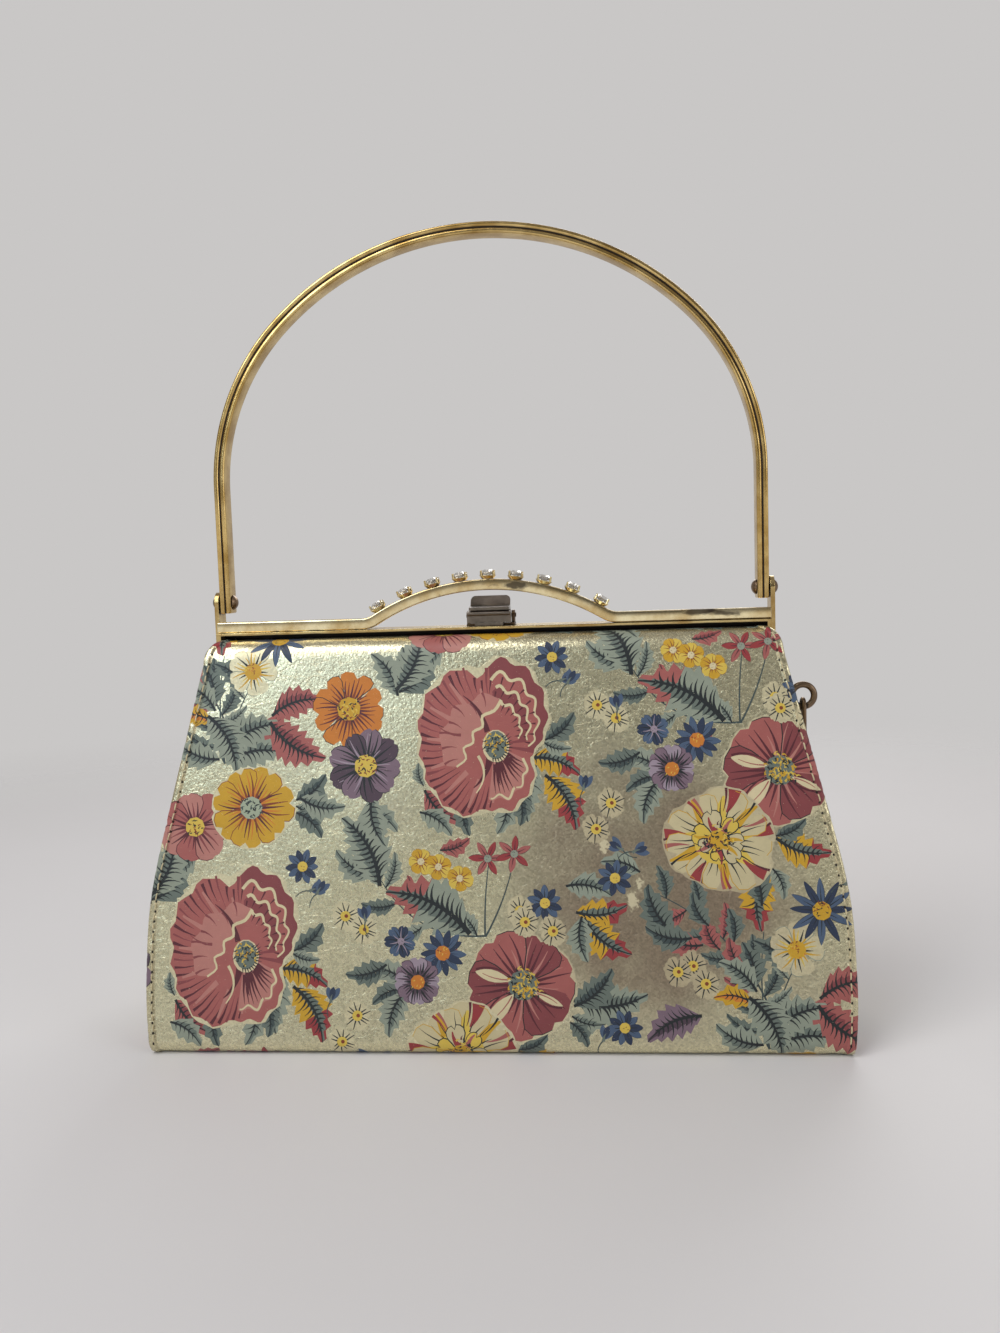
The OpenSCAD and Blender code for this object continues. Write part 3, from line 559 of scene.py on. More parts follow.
def ruffle(first, last, share, width=1.3):
    return brush(smooth(arc_of(first, last, share, 0.05, 24), 2), width, "cream", 0.5, 1)


def peony(rng):
    made = [fan(-14, 100, 1, "rose_deep"), fan(254, 348, 1, "rose"), fan(94, 266, 1, "rose")]
    for k in range(30):
        angle = 96 + k * 168 / 29
        streak = [rim(angle, 0.98), rim(angle + 1.5, 0.84), rim(angle + 2, rng.uniform(0.55, 0.72))]
        made.append(brush(streak, rng.uniform(0.7, 1.5), "maroon" if k % 3 else "rose_deep"))
        if k % 4 == 1:
            made.append(brush([rim(angle + 3, 0.9), rim(angle + 3, 0.5)], 2.2, "rose_pale", 0.4, 1))
    for first, last, share, ink in PEONY_RUFFLES:
        made += [fan(first, last, share, ink), ruffle(first + 3, last - 4, share)]
        for k in range(9):
            angle = first + 8 + k * (last - first - 12) / 8
            made.append(brush([rim(angle, share * 0.96), rim(angle + 3, share * rng.uniform(0.72, 0.86))],
                              0.8, "maroon"))
    for first, last in ((262, 300), (296, 336)):
        made += [fan(first, last, 0.84, "rose_pale"), ruffle(first + 2, last, 0.8, 1.1)]
        for k in range(5):
            angle = first + 6 + k * (last - first - 8) / 5
            made.append(brush([rim(angle, 0.3), rim(angle, 0.55), rim(angle + 2, 0.75)], 1.3, "maroon"))
    lip, edge = ([complex(*p) for p in points] for points in (PEONY_LIP, PEONY_EDGE))
    made.append((smooth(edge, 3) + smooth(lip, 3)[::-1], "rose_pale"))
    for k in range(1, 8):
        made.append(brush(bow(edge[k], edge[k] * 0.72, 0.08, 3), 1.0, "rose_deep"))
    made += [brush(bow(start, end, bend), width, ink) for start, end, bend, width, ink in PEONY_CREASES]
    made.append(brush(smooth(lip, 3), 1.5, "cream", 0.5, 0.9))
    made.append(brush(bow(-7 - 4j, -8 - 18j, 0.2), 1.5, "cream", 0.8, 0.3))
    made += [spot(6.2, "cream", 0.4 - 0.4j, 14, 0.9), spot(5.4, "leaf_dark", 0.4, 14, 0.85)]
    made += specks(rng, 4.8, ["soot", "lemon", "soot", "mustard"], 46, 0.75)
    for k in range(13):
        angle = -100 + k * 11
        made.append(brush([5 * spin(angle), 7.6 * spin(angle + 4)], 0.6, "soot"))
    return [([complex(PEONY_WIDE * p.real, PEONY_TALL * p.imag) for p in outline], ink)
            for outline, ink in made]


print("the peony holds", len(peony(random.Random(3))), "shapes")

# %% [markdown]
# ### One repeat of the bouquet
# A printed skin repeats, so each motif is drawn once and stamped at every step of a slanted lattice. The
# places are read off the photograph in pixels, and the camera turns them into millimetres on the panel:
# what looks level in the picture is then level on the leather too.

# %% Motifs and layout
def white_daisy(rng):
    made = []
    for k in range(8):
        one = [(petal(rng.uniform(5.0, 6.8), 3.6, 2.0, 0.08), "halo")]
        made += placed(one, 0, 45 * k + rng.uniform(-9, 9))
    for a in range(0, 360, 30):
        ray = [1.6 * spin(a), rng.uniform(3.2, 5.4) * spin(a + rng.uniform(-6, 12))]
        made.append(brush(ray, 0.62, "soot", 0.9, 0.4))
    return made + [spot(1.9, "lemon"), spot(0.7, "rust", 0.3)]


def bud(rng):
    made = [brush(bow(-6, 0, 0.15, 4), 0.5, "stem", 0.6, 1)]
    for turn in (-24, 24, 0):
        one = [(petal(rng.uniform(4.6, 5.6), 2.3, 1.2), "slate" if turn else "navy")]
        made += placed(one, 0, turn)
    return made + [brush(bow(-0.6, 2.4, 0.1, 3), 1.3, "leaf_dark")]


def anemone(rng):
    made = rosette(rng, 6, 20.5, 20, ["rose", "rose_deep"], ["maroon", "rose_pale", "maroon"],
                   (5.4, "leaf_dark", ["lemon", "soot", "mustard"], 46), 1.6, 6, 0.08,
                   stretch=0.92, width=0.9)
    folds = []
    for angle, reach, breadth in ((150, 13, 4.2), (212, 15, 5.2), (318, 11, 2.6)):
        fold = [(petal(reach, breadth, 1.1), "cream"),
                brush(bow(1, 0.8 * reach, 0.06, 4), 0.5, "rose", 1, 0.4),
                brush(bow(1 - 0.4j * breadth, reach - 0.2j * breadth, -0.12, 5), 1.1, "maroon", 0.4, 0.8)]
        folds += placed(fold, 4.6 * spin(angle), angle + 6)
    return made + folds + specks(rng, 6.2, ["soot", "lemon", "mustard"], 26, 0.8)


STRIPES = (((0.15, 0.26, "red"), (0.29, 0.06, "maroon")), ((-0.26, 0.12, "rose"), (0.2, 0.06, "soot")),
           ((-0.12, 0.32, "red"), (0.1, 0.07, "maroon")), ((0.06, 0.09, "rose"), (0.22, 0.09, "red")))


def striped(rng):
    reach, breadth = 21, 14.5
    made = []
    for k in range(9):
        one = [(petal(reach, breadth, 1.9, 0.14), "ivory"),
               brush(bow(3, 15.5 + 3 * (k % 2) + 1.5j, 0.05, 5), 7.5, ("lemon", "mustard")[k % 2], 1, 0.1)]
        for lean, width, ink in STRIPES[k % len(STRIPES)]:
            tip, root = complex(0.88 * reach, lean * breadth), complex(0.48 * reach, 0.4 * lean * breadth)
            one.append(brush(bow(tip, root, 0.06, 5), width * breadth, ink, 1, 0.15))
        for lean in (-0.3, -0.1, 0.12, 0.3):
            line = bow(complex(8, lean * 9), complex(rng.uniform(12, 17), lean * 18), 0.04, 3)
            one.append(brush(line, 0.6, "soot"))
        outline = one[0][0]
        one.append(brush(outline[len(outline) // 2 + 1:-1], 0.4, "mustard", 0.5, 1))
        made += placed(one, 0, 40 * k + rng.uniform(-9, 9), rng.uniform(0.86, 1.1))
    made.append(spot(8.5, "lemon", 0, 16))
    for k in range(7):
        outline = petal(rng.uniform(7, 12), rng.uniform(5, 8), 1.7, 0.12)
        fold = [(outline, ("ivory", "lemon")[k % 2]),
                brush(bow(3, 8.5 + 1j, 0.1, 4), 2.2, ("mustard", "rose", "red")[k % 3], 1, 0.2),
                brush(outline[1:], 0.5, "soot", 0.4, 1)]
        made += placed(fold, 0, 360 * k / 7 + rng.uniform(-14, 14))
    made.append(spot(3.6, "mustard"))
    return made + specks(rng, 5.6, ["soot", "soot", "maroon", "lemon", "soot"], 56, 0.75)


MOTIFS = {
    "peony": peony, "anemone": anemone, "striped": striped, "white_daisy": white_daisy,
    "orange": lambda rng: rosette(rng, 6, 15.8, 13.4, ["orange"], ["rust", "maroon"],
                                  (4.4, "mustard", ["soot", "rust", "lemon"], 34), 2.1, 6, 0.13, width=0.8),
    "purple": lambda rng: rosette(rng, 9, 14.5, 8.6, ["mauve", "plum"],
                                  ["soot", "plum", "soot", "lilac", "soot"],
                                  (4.2, "lemon", ["rust", "soot"], 24), 1.6, 5, 0.06,
                                  stretch=0.92, width=0.8),
    "yellow": lambda rng: rosette(rng, 7, 17.4, 12.4, ["mustard"], ["rust", "orange", "maroon"],
                                  (4.2, "pale_green", ["soot", "stem"], 30), 2.0, 6, 0.11, "rust", 0.8),
    "pink": lambda rng: rosette(rng, 7, 14, 11, ["rose_pale", "rose"], ["maroon", "rose_deep"],
                                (3.6, "lemon", ["soot", "rust"], 22), 1.7, 4, 0.05, "maroon", 0.8),
    "daisy": lambda rng: rosette(rng, 14, 8.4, 2.7, ["slate", "navy"], ["navy"],
                                 (2.7, "orange", ["lemon", "rust"], 9), 1.2, 1, 0, width=0.4),
    "pansy": lambda rng: rosette(rng, 8, 9.4, 7, ["lilac", "mauve"], ["soot", "plum"],
                                 (2.6, "orange", ["lemon"], 6), 1.8, 5, 0.1, "plum", 0.9, 0.88),
    "cornflower": lambda rng: rosette(rng, 7, 6.4, 3.8, ["slate", "navy"], ["soot", "lilac"],
                                      (1.3, "lilac", ["soot"], 5), 1.5, 2, 0.1, width=0.4),
    "little_blue": lambda rng: rosette(rng, 10, 6.2, 2.6, ["slate", "navy"], ["soot"],
                                       (1.9, "lemon", ["rust"], 5), 1.3, 1, 0, width=0.35),
    "buttercup": lambda rng: rosette(rng, 6, 5.2, 4.2, ["mustard", "lemon"], ["rust"],
                                     (1.3, "cream", ["rust"], 5), 1.7, 2, 0.05, "rust", 0.35),
    "star_red": lambda rng: rosette(rng, 6, 6.6, 2.4, ["rose", "red"], ["maroon"],
                                    (1.4, "leaf", ["soot"], 5), 1.1, 1, 0, width=0.4),
    "blossom": lambda rng: rosette(rng, 5, 10.5, 9, ["halo"], ["mustard", "soot", "lemon", "mustard"],
                                   (3.2, "mustard", ["rust", "orange", "lemon"], 14), 1.8, 4, 0.08,
                                   "leaf", 0.7),
    "star_navy": lambda rng: rosette(rng, 12, 11.5, 2.7, ["navy", "slate"], ["soot"],
                                     (3.3, "mustard", ["rust", "soot"], 18), 1.0, 1, 0, width=0.4),
    "bud": bud,
}
FLOWERS = (
    ("cornflower", 654, 729, 30), ("daisy", 697, 740, 0), ("pansy", 672, 769, 0),
    ("orange", 349, 709, 12), ("purple", 366, 766, 0), ("pink", 195, 827, 0), ("yellow", 251, 808, 5),
    ("peony", 495, 745, 0), ("anemone", 780, 770, 10), ("striped", 718, 840, 0),
    ("little_blue", 552, 657, 0), ("little_blue", 545, 903, 20), ("little_blue", 625, 1028, 40),
    ("little_blue", 615, 878, 10), ("buttercup", 673, 650, 0), ("buttercup", 691, 655, 20),
    ("buttercup", 713, 666, 40), ("white_daisy", 775, 697, 0), ("white_daisy", 611, 803, 10),
    ("white_daisy", 596, 829, 20), ("white_daisy", 525, 922, 5), ("white_daisy", 553, 931, 15),
    ("white_daisy", 597, 705, 8), ("white_daisy", 616, 718, 18), ("white_daisy", 693, 966, 0),
    ("white_daisy", 706, 984, 10), ("white_daisy", 678, 972, 20), ("star_red", 741, 646, 0),
    ("star_red", 768, 641, 20), ("blossom", 797, 950, 0), ("star_navy", 822, 911, 0),
    ("bud", 561, 681, 20), ("bud", 584, 789, 80), ("bud", 622, 849, 150), ("bud", 634, 852, 20),
    ("bud", 604, 1040, 70), ("bud", 318, 893, 60), ("bud", 366, 920, 100), ("bud", 846, 884, 30),
)
GREY, DARK, GOLD = ("leaf", "leaf_dark", None), ("leaf_dark", "stem", None), ("mustard", "leaf_dark", "red")
RED, PLUM, AMBER = ("rose", "rose_deep", None), ("mauve", "plum", None), ("mustard", "orange", None)
BLUSHED = ("leaf", "leaf_dark", "rose")
LEAVES = (
    (GREY, 628, 665, 586, 640), (GOLD, 530, 758, 580, 775), (GOLD, 545, 775, 576, 830),
    (GREY, 536, 765, 528, 822), (DARK, 545, 740, 574, 712), (GREY, 543, 742, 572, 748),
    (GREY, 506, 792, 497, 834), (DARK, 516, 790, 520, 826), (GREY, 662, 772, 622, 756),
    (DARK, 658, 776, 626, 792), (GREY, 660, 778, 644, 824), (DARK, 640, 752, 598, 762),
    (GOLD, 776, 838, 832, 852), (DARK, 776, 836, 806, 818), (GOLD, 766, 872, 762, 932),
    (GREY, 772, 868, 784, 900), (AMBER, 753, 1003, 713, 998), (GREY, 764, 1045, 716, 1024),
    (PLUM, 702, 1016, 648, 1042), (RED, 775, 1028, 826, 1000), (RED, 800, 1012, 850, 1028),
    (GREY, 773, 1048, 836, 1040), (GREY, 772, 1034, 830, 1008), (GREY, 398, 696, 371, 654),
    (GREY, 398, 690, 402, 646), (DARK, 399, 692, 434, 658), (DARK, 296, 800, 326, 774),
    (GREY, 296, 806, 328, 812), (DARK, 294, 812, 322, 838), (GREY, 364, 810, 398, 832),
    (GREY, 380, 886, 342, 818), (RED, 272, 716, 324, 700), (RED, 270, 722, 326, 758),
    (GREY, 566, 886, 612, 896), (GOLD, 576, 912, 628, 904), (GOLD, 584, 918, 632, 954),
    (GREY, 582, 916, 588, 962), (GREY, 574, 1000, 648, 994), (DARK, 574, 1006, 612, 968),
    (GREY, 572, 1016, 606, 1024), (DARK, 570, 1022, 588, 1048), (GREY, 196, 850, 160, 876),
    (RED, 440, 850, 470, 838), (RED, 425, 790, 462, 822), (GREY, 424, 786, 420, 762),
    (GREY, 420, 812, 452, 836), (BLUSHED, 470, 934, 386, 892), (RED, 703, 945, 662, 934),
    (RED, 720, 950, 706, 918), (RED, 746, 973, 730, 936), (DARK, 673, 932, 648, 884),
    (DARK, 692, 938, 645, 926), (DARK, 709, 926, 693, 892), (DARK, 734, 942, 728, 908),
    (DARK, 753, 990, 742, 942), (GREY, 757, 992, 718, 962), (GREY, 372, 796, 386, 846),
    (GREY, 300, 798, 346, 806), (DARK, 466, 800, 470, 836), (GREY, 640, 872, 600, 862),
    (GREY, 396, 690, 420, 628), (DARK, 762, 906, 744, 862), (GREY, 208, 716, 236, 772),
    (DARK, 246, 690, 214, 664),
)
SPRIGS = (
    ((742, 722), (632, 668), 0.16, 7, 13, 6, (GREY, RED, DARK)),
    ((770, 1008), (655, 893), -0.1, 9, 13, 6, (DARK, RED, DARK)),
    ((770, 1050), (764, 932), 0.04, 0, 1, 1, (GREY,)), ((740, 722), (742, 652), 0.02, 0, 1, 1, (GREY,)),
    ((741, 722), (768, 645), -0.04, 0, 1, 1, (GREY,)), ((772, 1050), (798, 962), 0.06, 2, 9, 4, (GREY,)),
    ((770, 1050), (762, 1000), 0.1, 5, 15, 5, (GREY, DARK)),
)
HALOED = ("peony", "striped", "yellow", "anemone")
HALO, HALO_STEP, HALO_VIEW = 0.4, 6, 0.11
TOOTH, LEAF_BREADTH = 3.4, 0.56
SPRIG_SEED, LEAF_SEED, FLOWER_SEED = 700, 300, 40
REPEAT_DOWN = on_front(245, 955) - on_front(495, 745)
REPEAT_ACROSS = on_front(770, 1048) - on_front(225, 762)
STEPS_DOWN, STEPS_ACROSS = range(-5, 6), range(-4, 5)


def one_repeat():
    """All motifs of one repeat, each as (centre, reach, shapes); leaves lie under the flowers."""
    stamps = []
    for number, (start, end, bend, count, reach, breadth, inks) in enumerate(SPRIGS):
        root = on_front(*start)
        line = bow(0, on_front(*end) - root, bend, 14)
        drawn = sprig(random.Random(SPRIG_SEED + number), line, count, reach, breadth, inks)
        stamps.append((root, drawn))
    for number, ((light, dark, tip), *ends) in enumerate(LEAVES):
        root = on_front(*ends[:2])
        way = on_front(*ends[2:]) - root
        rng = random.Random(LEAF_SEED + number)
        teeth = min(8, max(4, round(abs(way) / TOOTH)))
        breadth = LEAF_BREADTH * abs(way)
        bend = rng.choice((-LEAF_BEND, LEAF_BEND))
        drawn = leaf(rng, abs(way), breadth, light, dark, "soot", teeth, bend, tip)
        stamps.append((root, placed(drawn, 0, math.degrees(cmath.phase(way)))))
    drawings = {name: draw(random.Random(FLOWER_SEED + k)) for k, (name, draw) in enumerate(MOTIFS.items())}
    for name, column, row, turned in FLOWERS:
        shapes = placed(drawings[name], 0, turned)
        if name in HALOED:
            spots = [p for outline, _ in shapes for p in outline if p]
            ring = []
            for way in (spin(k) for k in range(0, 360, HALO_STEP)):
                reach = max((abs(p) for p in spots if abs(cmath.phase(p / way)) < HALO_VIEW), default=0)
                ring.append((reach + HALO) * way)
            shapes = [(ring, "halo")] + shapes
        stamps.append((on_front(column, row), shapes))
    return [(at, max(abs(p) for outline, _ in shapes for p in outline), shapes) for at, shapes in stamps]


REPEAT = one_repeat()
INK["halo"] = INK["cream"]
COVER = {name: 0.5 if name == "halo" else 1.0 for name in INK}


def bouquet(low, high, shift=0):
    """Every ink shape of the stamped lattice that reaches into a rectangle."""
    found = []
    for at, reach, shapes in REPEAT:
        for down in STEPS_DOWN:
            for across in STEPS_ACROSS:
                spot_at = at + shift + down * REPEAT_DOWN + across * REPEAT_ACROSS
                if (low.real - reach < spot_at.real < high.real + reach
                        and low.imag - reach < spot_at.imag < high.imag + reach):
                    found += placed(shapes, spot_at)
    return found


PRINT_HALF = 126
print(len(REPEAT), "motifs;", len(bouquet(-PRINT_HALF, complex(PRINT_HALF, S_END))), "shapes on the front")

# %% [markdown]
# ## From ink to mesh
# A flat print could be a texture. Cutting the outlines into the mesh keeps every edge sharp at any distance
# and needs no picture. Blender's constrained Delaunay triangulation does the cutting: it takes all outlines,
# however they cross, and returns triangles that never straddle a line. Each triangle then takes the ink of
# the topmost outline over its middle. A second pass keeps only the lines where the ink changes, so outlines
# that lie hidden under others cost nothing.

# %% Triangulate a printed skin
GRID_STEP = 5.0
CUT_STEP = 2.2
MERGE, INNER_MERGE = 0.002, 0.00001


def divided(outline, step):
    """An outline whose edges are no longer than a step, so that it can follow a curved surface."""
    made = []
    for a, b in zip(outline, outline[1:] + outline[:1]):
        count = max(1, math.ceil(abs(b - a) / step))
        made += [a + (b - a) * k / count for k in range(count)]
    return made


def within(points, outline):
    """Which of the points (rows of x, y) lie inside an outline, by counting crossings."""
    ring = np.array([(p.real, p.imag) for p in outline])
    ahead = np.roll(ring, -1, axis=0)
    x, y = points[:, :1], points[:, 1:]
    crosses = (ring[:, 1] > y) != (ahead[:, 1] > y)
    rise = np.where(ahead[:, 1] == ring[:, 1], 1, ahead[:, 1] - ring[:, 1])
    at = ring[:, 0] + (y - ring[:, 1]) * (ahead[:, 0] - ring[:, 0]) / rise
    return (crosses & (x < at)).sum(axis=1) % 2 == 1


def looped(loops):
    """All points of closed loops, and the edges that join them."""
    spots, edges = [], []
    for loop in loops:
        first = len(spots)
        spots += loop
        edges += [(first + k, first + (k + 1) % len(loop)) for k in range(len(loop))]
    return spots, edges


def triangulate(spots, edges, outline, merge=MERGE):
    """Points of a constrained Delaunay triangulation, and its triangles inside an outline."""
    flat_spots = [Vector((p.real, p.imag)) for p in spots]
    flat, _, faces, *_ = geometry.delaunay_2d_cdt(flat_spots, edges, [], 0, merge)
    flat, faces = np.array([tuple(p) for p in flat]), np.array([tuple(f) for f in faces])
    return flat, faces[within(flat[faces].mean(axis=1), outline)]


def inked(points, shapes):
    """Colour and cover of the topmost shape over each point; bare ground has no cover."""
    paint = np.zeros((len(points), 4))
    for outline, ink in shapes:
        reals, imags = [p.real for p in outline], [p.imag for p in outline]
        near = np.nonzero((points[:, 0] > min(reals)) & (points[:, 0] < max(reals))
                          & (points[:, 1] > min(imags)) & (points[:, 1] < max(imags)))[0]
        if len(near):
            paint[near[within(points[near], outline)]] = (*INK[ink], COVER[ink])
    return paint


def seen_lines(faces, paint):
    """The edges where the ink changes or the skin ends; what lies under other ink is left out."""
    ends = np.concatenate([faces[:, [0, 1]], faces[:, [1, 2]], faces[:, [2, 0]]])
    tint = np.tile(np.unique(paint, axis=0, return_inverse=True)[1].ravel(), 3)
    lines, which, count = np.unique(np.sort(ends, axis=1), axis=0, return_inverse=True, return_counts=True)
    lowest, highest = np.full(len(lines), len(paint)), np.full(len(lines), -1)
    np.minimum.at(lowest, which.ravel(), tint)
    np.maximum.at(highest, which.ravel(), tint)
    return lines[(count == 1) | (lowest != highest)]


def lattice(outline, step_x, rows):
    """Loose points inside an outline: one every step along each given row."""
    reals = [p.real for p in outline]
    columns = np.arange(min(reals) + step_x / 2, max(reals), step_x)
    spots = [complex(x, row) for row in rows for x in columns]
    inside = within(np.array([(p.real, p.imag) for p in spots]), outline)
    return [p for p, kept in zip(spots, inside) if kept]


def cut_print(outline, shapes, loose):
    """Flat points, triangles and paint of a skin that is cut along the lines of its print that show."""
    flat, faces = triangulate(*looped([outline] + [divided(o, CUT_STEP) for o, _ in shapes]), outline)
    lines = seen_lines(faces, inked(flat[faces].mean(axis=1), shapes))
    used, lines = np.unique(lines, return_inverse=True)
    spots = [complex(*p) for p in flat[used]] + loose
    flat, faces = triangulate(spots, lines.reshape(-1, 2).tolist(), outline)
    paint = inked(flat[faces].mean(axis=1), shapes)
    used, faces = np.unique(faces, return_inverse=True)
    return flat[used], faces.reshape(-1, 3), paint


def printed_skin(name, outline, shapes, lift, thickness, rows, step_x=GRID_STEP):
    """A closed leather piece: a printed outer skin, a plain inner one and a rim between them.
    lift(x, s, out) turns a flat point into a place in millimetres, `out` above the outer face."""
    loose = lattice(outline, step_x, rows)
    flat, faces, paint = cut_print(outline, shapes, loose)
    sides = {(a, b) for f in faces for a, b in zip(f, np.roll(f, -1))}
    border = [(a, b) for a, b in sides if (b, a) not in sides]
    loop = sorted({a for edge in border for a in edge})
    inner_of = {a: k for k, a in enumerate(loop)}
    seams = [(inner_of[a], inner_of[b]) for a, b in border]
    inner, under = triangulate([complex(*flat[a]) for a in loop] + loose, seams, outline, INNER_MERGE)
    points = [lift(x, s, 0.0) for x, s in flat] + [lift(x, s, -thickness) for x, s in inner]
    start = len(flat)
    polygons = [tuple(f) for f in faces]
    polygons += [(b, a, start + inner_of[a], start + inner_of[b]) for a, b in border]
    polygons += [tuple(start + k for k in f[::-1]) for f in under]
    piece = solid(name, points, polygons)
    corner_paint = np.zeros((len(piece.data.loops), 4), np.float32)
    corner_paint[:len(faces) * 3] = np.repeat(paint, 3, axis=0)
    layer = piece.data.color_attributes.new("print", "FLOAT_COLOR", "CORNER")
    layer.data.foreach_set("color", corner_paint.ravel())
    return piece


def solid(name, points, polygons):
    """A smooth-shaded mesh object from points in millimetres."""
    mesh = bpy.data.meshes.new(name)
    mesh.from_pydata([Vector(p) * MM for p in points], [], [tuple(int(k) for k in f) for f in polygons])
    mesh.shade_smooth()
    mesh.set_sharp_from_angle(angle=math.radians(35))
    piece = bpy.data.objects.new(name, mesh)
    bpy.context.scene.collection.objects.link(piece)
    return piece


def tube_faces(first, rings, count):
    """Faces between rings of `count` points, numbered on from `first`, with a cap at each end."""
    faces = []
    for k in range(rings - 1):
        for j in range(count):
            a, b = first + k * count + j, first + k * count + (j + 1) % count
            faces.append((a, b, b + count, a + count))
    last = first + (rings - 1) * count
    return faces + [tuple(range(first, first + count))[::-1], tuple(range(last, last + count))]


def edge_rows(s_low, s_high, flat_step=GRID_STEP, curved_step=1.0):
    """Path lengths at which to put points: close together on the fold and the shoulder."""
    rows, s = [], s_low
    while s < s_high:
        rows.append(s)
        s += flat_step if S_FOLD + 1 < s < S_LEAN - flat_step else curved_step
    return rows


def panel_outline(inset):
    """The front panel's outline, inset from its side edges."""
    rows = edge_rows(0, S_END, 2.5, 0.8) + [S_END]
    right = [complex(panel_half(path_point(s)[1]) - inset, s) for s in rows]
    bottom = [complex(x, 0) for x in np.linspace(-right[0].real, right[0].real, 60)[1:-1]]
    top = [complex(x, S_END) for x in np.linspace(right[-1].real, -right[-1].real, 60)[1:-1]]
    return bottom + right + top + [complex(-p.real, p.imag) for p in right[::-1]]


front_outline = panel_outline(BINDING_WIDTH)
front_print = bouquet(-PRINT_HALF, complex(PRINT_HALF, S_END))
front = printed_skin("front_leather", front_outline, front_print, front_point, PANEL_THICKNESS,
                     edge_rows(0.5, S_END))
print("front leather:", len(front.data.polygons), "faces")
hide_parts("front_panel", "front_shoulder")

# %% [markdown]
# ### Back and bindings
# The back is the same strip turned half round, with the print shifted so that the two sides differ. The
# side edges are bound: a narrow strip lies over the panel, rolls round the edge and runs down the side. It
# takes its print from the same bouquet, so the pattern runs over the seam as it does on the real skin.

# %% Back and bindings
BINDING_PROUD, BINDING_DEPTH, RIM_RADIUS, RAMP = 0.5, 3.9, 0.9, 0.6
STRIP_LEATHER = 0.45
FLAT_END = BINDING_WIDTH - RIM_RADIUS
ROLL_END = FLAT_END + RIM_RADIUS * math.pi / 2
BACK_SHIFT = complex(70, 45)


def ease(low, high, value):
    u = min(1, max(0, (value - low) / (high - low)))
    return u * u * (3 - 2 * u)


def strip_width(z):
    """Width of the binding strip round the edge; near the frame it is cut shorter to clear the jaw."""
    top = SHOULDER_HEIGHT - CORNER_HEIGHT
    depth = BINDING_DEPTH - (BINDING_DEPTH - PANEL_THICKNESS) * ease(top - 4, top - 1, z)
    return ROLL_END + depth + BINDING_PROUD - RIM_RADIUS


def strip_profile(u):
    """(across, out, normal across, normal out) at u millimetres from the strip's inner edge."""
    if u < FLAT_END:
        return u, BINDING_PROUD * ease(0, RAMP, u), 0.0, 1.0
    if u < ROLL_END:
        a = (u - FLAT_END) / RIM_RADIUS
        return (FLAT_END + RIM_RADIUS * math.sin(a), BINDING_PROUD - RIM_RADIUS * (1 - math.cos(a)),
                math.sin(a), math.cos(a))
    return BINDING_WIDTH, BINDING_PROUD - RIM_RADIUS - (u - ROLL_END), 1.0, 0.0


def strip_point(side):
    def place(x, s, out):
        y, z, ny, nz = path_point(s)
        inner = panel_half(z) - BINDING_WIDTH
        across, height, n_across, n_out = strip_profile(max(0, side * x - inner))
        height = min(height, BINDING_PROUD * ease(0, FOLD_RADIUS, s)) + out * n_out
        return Vector((side * (inner + across + out * n_across), y + ny * height, z + nz * height))
    return place


def strip_outline(side):
    rows = edge_rows(0, S_END, 2.5, 0.8) + [S_END]
    inner = [complex(panel_half(path_point(s)[1]) - BINDING_WIDTH, s) for s in rows]
    outer = [p + strip_width(path_point(p.imag)[1]) for p in inner]
    loop = divided(outer + inner[::-1], 1.2)
    return loop if side > 0 else [complex(-p.real, p.imag) for p in loop[::-1]]


def turned_back(lift):
    """The same piece on the back of the bag: turned half round the upright axis."""
    def behind(x, s, out):
        p = lift(x, s, out)
        return Vector((-p.x, -p.y, p.z))
    return behind


def stamped(outline, shift=0):
    """The part of the bouquet that an outline needs."""
    reals, imags = [p.real for p in outline], [p.imag for p in outline]
    return bouquet(complex(min(reals), min(imags)), complex(max(reals), max(imags)), shift)


back = printed_skin("back_leather", front_outline, stamped(front_outline, BACK_SHIFT),
                    turned_back(front_point), PANEL_THICKNESS, edge_rows(0.5, S_END))
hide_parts("back_panel")
edges = {}
for side, hand, other in ((1, "right", "left"), (-1, "left", "right")):
    outline = strip_outline(side)
    for face, lift, name, shift in (("front", strip_point(side), hand, 0),
                                    ("back", turned_back(strip_point(side)), other, BACK_SHIFT)):
        strip = printed_skin(f"{face}_{name}_edge", outline, stamped(outline, shift), lift, STRIP_LEATHER,
                             edge_rows(0.5, S_END, 2.5, 0.8), 0.6)
        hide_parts(f"{face}_{name}_binding")
        edges[strip.name] = strip
print("back:", len(back.data.polygons), "faces;", {n: len(e.data.polygons) for n, e in edges.items()})

# %% [markdown]
# ### Gussets
# The sides are gussets: when the frame shuts, each folds inward along its middle. A cloth simulation could
# find that fold, but stiffened leather keeps the crease it was pressed with, so the hollow is a parabola
# across, which grows up the side and dies out below the hinge. The top edge dips so that a hand can enter.

# %% Gussets
GUSSET_LEATHER, GUSSET_FOOT, SEAM_GAP, GUSSET_FOLD = 1.4, 0.3, 0.3, 6
EAR_DROP, SCOOP_DEPTH, SCOOP_FLAT, SCOOP_SIDE = 8, 6, 6, 11
HINGE_HEIGHT = 129
FOLD_RISE = (0.155 * HINGE_HEIGHT, 0.7 * HINGE_HEIGHT)
FOLD_FADE = (HINGE_HEIGHT - 25, HINGE_HEIGHT - 2)


def lean_y(z):
    return LEAN_START[0] + max(0, z - LEAN_START[1]) * TAN


def gusset_reach(z):
    return min(-FOLD_Y - SEAM_GAP, -lean_y(z) - (BINDING_DEPTH + SEAM_GAP) / COS)


